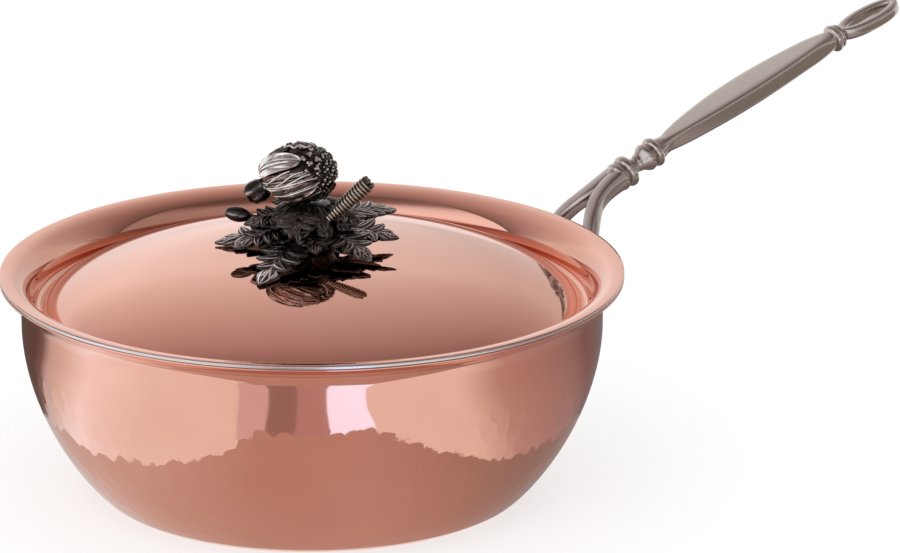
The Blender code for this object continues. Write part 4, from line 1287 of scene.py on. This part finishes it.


# Each leaf's root, bend and tip in the outline, then half width, lift, curl, veins and brightness. The
# brightness is painted light: lightest on the leaf across the upper left and darker, as painted shade, on
# the leaves round the underside. The back leaves come first, and each leaf lies over the ones before it
head_leaves = [
    (((-0.30, -0.92, True), (-0.70, -0.10, True), (-0.45, 0.62, True)), 0.46, -0.0010, 0.0006, 5.0, 0.60),
    (((0.55, -0.80, True), (0.60, -0.45, True), (0.35, 0.05, True)), 0.46, -0.0010, 0.0006, 5.0, 0.60),
    (((0.10, -0.97, True), (0.05, -0.60, True), (-0.10, 0.25, True)), 0.48, -0.0008, 0.0006, 5.0, 0.60),
    (((-0.93, -0.36, True), (-0.96, 0.10), (-0.30, 0.82)), 0.25, -0.0004, 0.0004, 5.0, 0.35),
    (((0.25, -0.96), (0.62, -0.85), (0.88, -0.32)), 0.24, -0.0004, 0.0006, 4.0, 0.45),
    (((-0.40, -0.90, True), (-0.06, -0.86), (0.58, -0.56)), 0.36, -0.0003, 0.0004, 5.0, 0.56),
    (((-0.72, -0.69, True), (-0.46, -0.68), (0.42, -0.30)), 0.30, 0.0000, 0.0005, 4.0, 0.68),
    (((-0.95, -0.30, True), (-0.72, -0.34), (0.34, -0.04)), 0.24, 0.0003, 0.0005, 3.0, 0.64),
    (((-0.97, -0.16, True), (-0.78, 0.26), (0.02, 0.36)), 0.31, 0.0006, 0.0006, 2.0, 1.00),
]
for row in head_leaves:
    wrap_leaf(*row)

rib_relief = 0.95


def add_rib(places, lift, thickness):
    """A fine raised rib on the head, through places in the outline that the photograph sees."""
    points = [on_head(head_direction(*place), lift) for place in places]
    rows = []
    for k, point in enumerate(points):
        along = (points[min(k + 1, len(points) - 1)] - points[max(k - 1, 0)]).normalized()
        outward = (point - finial_place(*globe_centre)).normalized()
        half = thickness * (0.55 + 0.45 * math.sin(math.pi * (k + 0.5) / len(points)))
        rows.append((point, along.cross(outward).normalized(), outward, half, half, 2.0))
    rib = swept(rows, 8)
    rib_mesh = bpy.data.meshes.new("rib")
    rib.to_mesh(rib_mesh)
    rib.free()
    known = len(head.verts)
    head.from_mesh(rib_mesh)
    bpy.data.meshes.remove(rib_mesh)
    head.verts.ensure_lookup_table()
    for vert in head.verts[known:]:
        vert[relief] = rib_relief


def smooth_places(corners):
    """Places along a smooth line through a few corners, as the photograph sees them."""
    ends = [corners[0], *corners, corners[-1]]
    places = []
    for before, first, second, after in zip(ends, ends[1:], ends[2:], ends[3:]):
        for step in range(6):
            t = step / 6.0
            spot = []
            for a, b, c, d in zip(before, first, second, after):
                bend = 3.0 * b - 3.0 * c + d - a
                spot.append(b + 0.5 * t * (c - a + t * (2.0 * a - 5.0 * b + 4.0 * c - d + t * bend)))
            places.append(spot)
    return places + [list(corners[-1])]


rib_lift = 0.0011
head_ribs = [
    ([(-0.84, -0.40), (-0.66, -0.24), (-0.46, -0.06), (-0.24, 0.06)], 0.00046),
    ([(-0.60, -0.44), (-0.38, -0.26), (-0.16, -0.06), (0.08, 0.04)], 0.00044),
    ([(-0.34, -0.38), (-0.12, -0.24), (0.08, -0.10), (0.26, -0.04)], 0.00044),
    ([(-0.86, -0.50), (-0.54, -0.46), (-0.20, -0.36), (0.16, -0.22), (0.40, -0.16)], 0.00050),
    ([(-0.66, -0.72), (-0.34, -0.70), (0.02, -0.56), (0.30, -0.42), (0.48, -0.28)], 0.00040),
    ([(0.44, -0.89), (0.58, -0.80), (0.68, -0.66), (0.70, -0.50)], 0.00046),
    ([(-0.40, 0.74), (-0.26, 0.80), (-0.14, 0.74), (0.00, 0.82), (0.14, 0.76), (0.26, 0.80)], 0.00046),
]
for corners, thickness in head_ribs:
    add_rib(smooth_places(corners), rib_lift, thickness)
bmesh.ops.recalc_face_normals(head, faces=head.faces)
add_casting("vegetable_head", head, antiqued_silver, "vegetable_globe", sharp=50.0)

# Ribbed root
# A tapering root that leans out at the right, cast in a yellower tone and ringed with fine ribs. Its
# crown is cut short and dark, with a few stubs.
root_tip = Vector((0.0048, -0.0144, 0.0142))
root_crown = Vector((0.0268, -0.0080, 0.0330))
root_length = (root_crown - root_tip).length
root_radius, root_tip_radius, rib_depth = 0.0040, 0.0013, 0.0006
ribs = 17
profile = [(0.0, 0.0), (0.6 * root_tip_radius, 0.0)]
steps = ribs * 6
for step in range(1, steps + 1):
    share = step / steps
    radius = root_tip_radius + (root_radius - root_tip_radius) * math.sin(0.5 * math.pi * share) ** 0.9
    groove = 0.5 + 0.5 * math.cos(2.0 * math.pi * share * ribs)
    profile.append((radius - rib_depth * groove * (0.4 + 0.6 * share), 0.90 * root_length * share))
profile += [(0.72 * root_radius, root_length * 0.915), (0.0, root_length * 0.92)]
root = turned(profile, 28, closed=False)
relief = root.verts.layers.float.new("relief")
for vert in root.verts:
    share = vert.co.z / (0.90 * root_length)
    turn = math.atan2(vert.co.y, vert.co.x)
    groove = 0.5 + 0.5 * math.cos(2.0 * math.pi * share * ribs)
    vert[relief] = 0.05 if share > 0.99 else 0.92 - 0.90 * groove**0.8
    vert.co.z += 0.0006 * math.sin(turn) * math.sin(math.pi * min(1.0, share))
stubs, stub_radius, stub_ring = 5, 0.0013, 0.0022
for k in range(stubs):
    turn = 2.0 * math.pi * k / stubs
    stub = bmesh.ops.create_uvsphere(root, u_segments=8, v_segments=6, radius=stub_radius)["verts"]
    bmesh.ops.scale(root, vec=(1.0, 1.0, 1.5), verts=stub)
    lean = Vector((stub_ring * math.cos(turn), stub_ring * math.sin(turn), 0.93 * root_length))
    for vert in stub:
        vert[relief] = 0.10 + 0.45 * (vert.co.z > 0.0)
    bmesh.ops.translate(root, vec=lean, verts=stub)


def stand(bm, foot, end):
    """Stand a turned casting on its foot, with its axis towards its end."""
    turn = Vector((0.0, 0.0, 1.0)).rotation_difference(finial_place(*end) - finial_place(*foot))
    placing = Matrix.Translation(finial_place(*foot)) @ turn.to_matrix().to_4x4()
    bmesh.ops.transform(bm, matrix=placing, verts=bm.verts)


stand(root, root_tip, root_crown)
antiqued_root = antiqued("antiqued_root", Raised=(0.82, 0.75, 0.62, 1.0), Middle=(0.32, 0.27, 0.20, 1.0))
add_casting("root_ribbed", root, antiqued_root, "ribbed_root", sharp=60.0)

# Side pod and side bud
# Two small dark castings at the left of the spray: a blunt pod behind the head, and an oval bud in
# two folded leaflets on a short stalk.
pod_radius, pod_length = 0.0057, 0.0112
away = Vector((-0.84, 0.20, -0.44)).normalized()
pod_reach = 1.0 / math.sqrt(sum((away[k] / globe_radii[k]) ** 2 for k in range(3)))
pod_start = globe_centre + away * (pod_reach + hair_gap)
pod_outline = [
    (0.0, 0.0), (0.62, 0.0), (0.85, 0.14), (1.0, 0.35), (1.0, 0.60), (0.96, 0.80), (0.80, 0.93), (0.60, 1.0),
    (0.0, 1.0),
]
profile = [(wide * pod_radius, high * pod_length) for wide, high in pod_outline]
pod = turned(profile, 40, closed=False)
relief = pod.verts.layers.float.new("relief")
for vert in pod.verts:
    turn = math.atan2(vert.co.y, vert.co.x)
    fold = 0.6 * math.cos(7.0 * turn + 300.0 * vert.co.z) + 0.4 * math.cos(3.0 * turn - 700.0 * vert.co.z)
    distance = math.hypot(vert.co.x, vert.co.y)
    vert[relief] = 0.40 + 0.55 * fold
    if distance > 0.2 * pod_radius:
        vert.co.xy = vert.co.xy * (1.0 - 0.0006 * (1.0 - fold) / distance)
stand(pod, pod_start, pod_start + away)
antiqued_dark = antiqued("antiqued_dark", Raised=(0.62, 0.57, 0.53, 1.0), Middle=(0.07, 0.06, 0.055, 1.0))
add_casting("pod_blunt", pod, antiqued_dark, "side_pod", sharp=60.0)

bud_start = Vector((-(boss_radius + hair_gap), 0.0, 0.0110))
bud_end = Vector((-0.0390, 0.0, 0.0158))
bud_radius, bud_length, bud_stalk = 0.0037, 0.0120, 0.0013
stalk = (bud_end - bud_start).length - bud_length
profile = [(0.0, 0.0), (bud_stalk, 0.0), (bud_stalk, stalk)]
for step in range(1, 15):
    share = step / 15.0
    radius = bud_stalk + (bud_radius - bud_stalk) * math.sin(math.pi * share) ** 0.8
    profile.append((radius, stalk + bud_length * share))
profile.append((0.0, stalk + bud_length))
bud = turned(profile, 32, closed=False)
relief = bud.verts.layers.float.new("relief")
for vert in bud.verts:
    turn = math.atan2(vert.co.y, vert.co.x)
    fold = abs(math.sin(1.5 * turn)) ** 0.5
    vert[relief] = 0.10 + 0.30 * fold + 0.55 * max(0.0, math.cos(3.0 * turn)) ** 6
    vert.co.xy = vert.co.xy * (0.86 + 0.10 * fold)
stand(bud, bud_start, bud_end)
add_casting("bud_folded", bud, antiqued_dark, "side_bud", sharp=60.0)

# Stud, washer and nut
# Plain steel fixings under the lid: they pull the boss down on the dome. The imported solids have
# the right shape, so they only get their metal.
fixing_steel = metal_material(
    "fixing_steel",
    satin_tone,
    {"Grain Scale": 900.0, "Roughness Low": 0.22, "Roughness High": 0.34},
)
for node_name in ("finial_stud", "finial_washer", "finial_nut"):
    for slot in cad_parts[node_name].material_slots:
        slot.material = fixing_steel
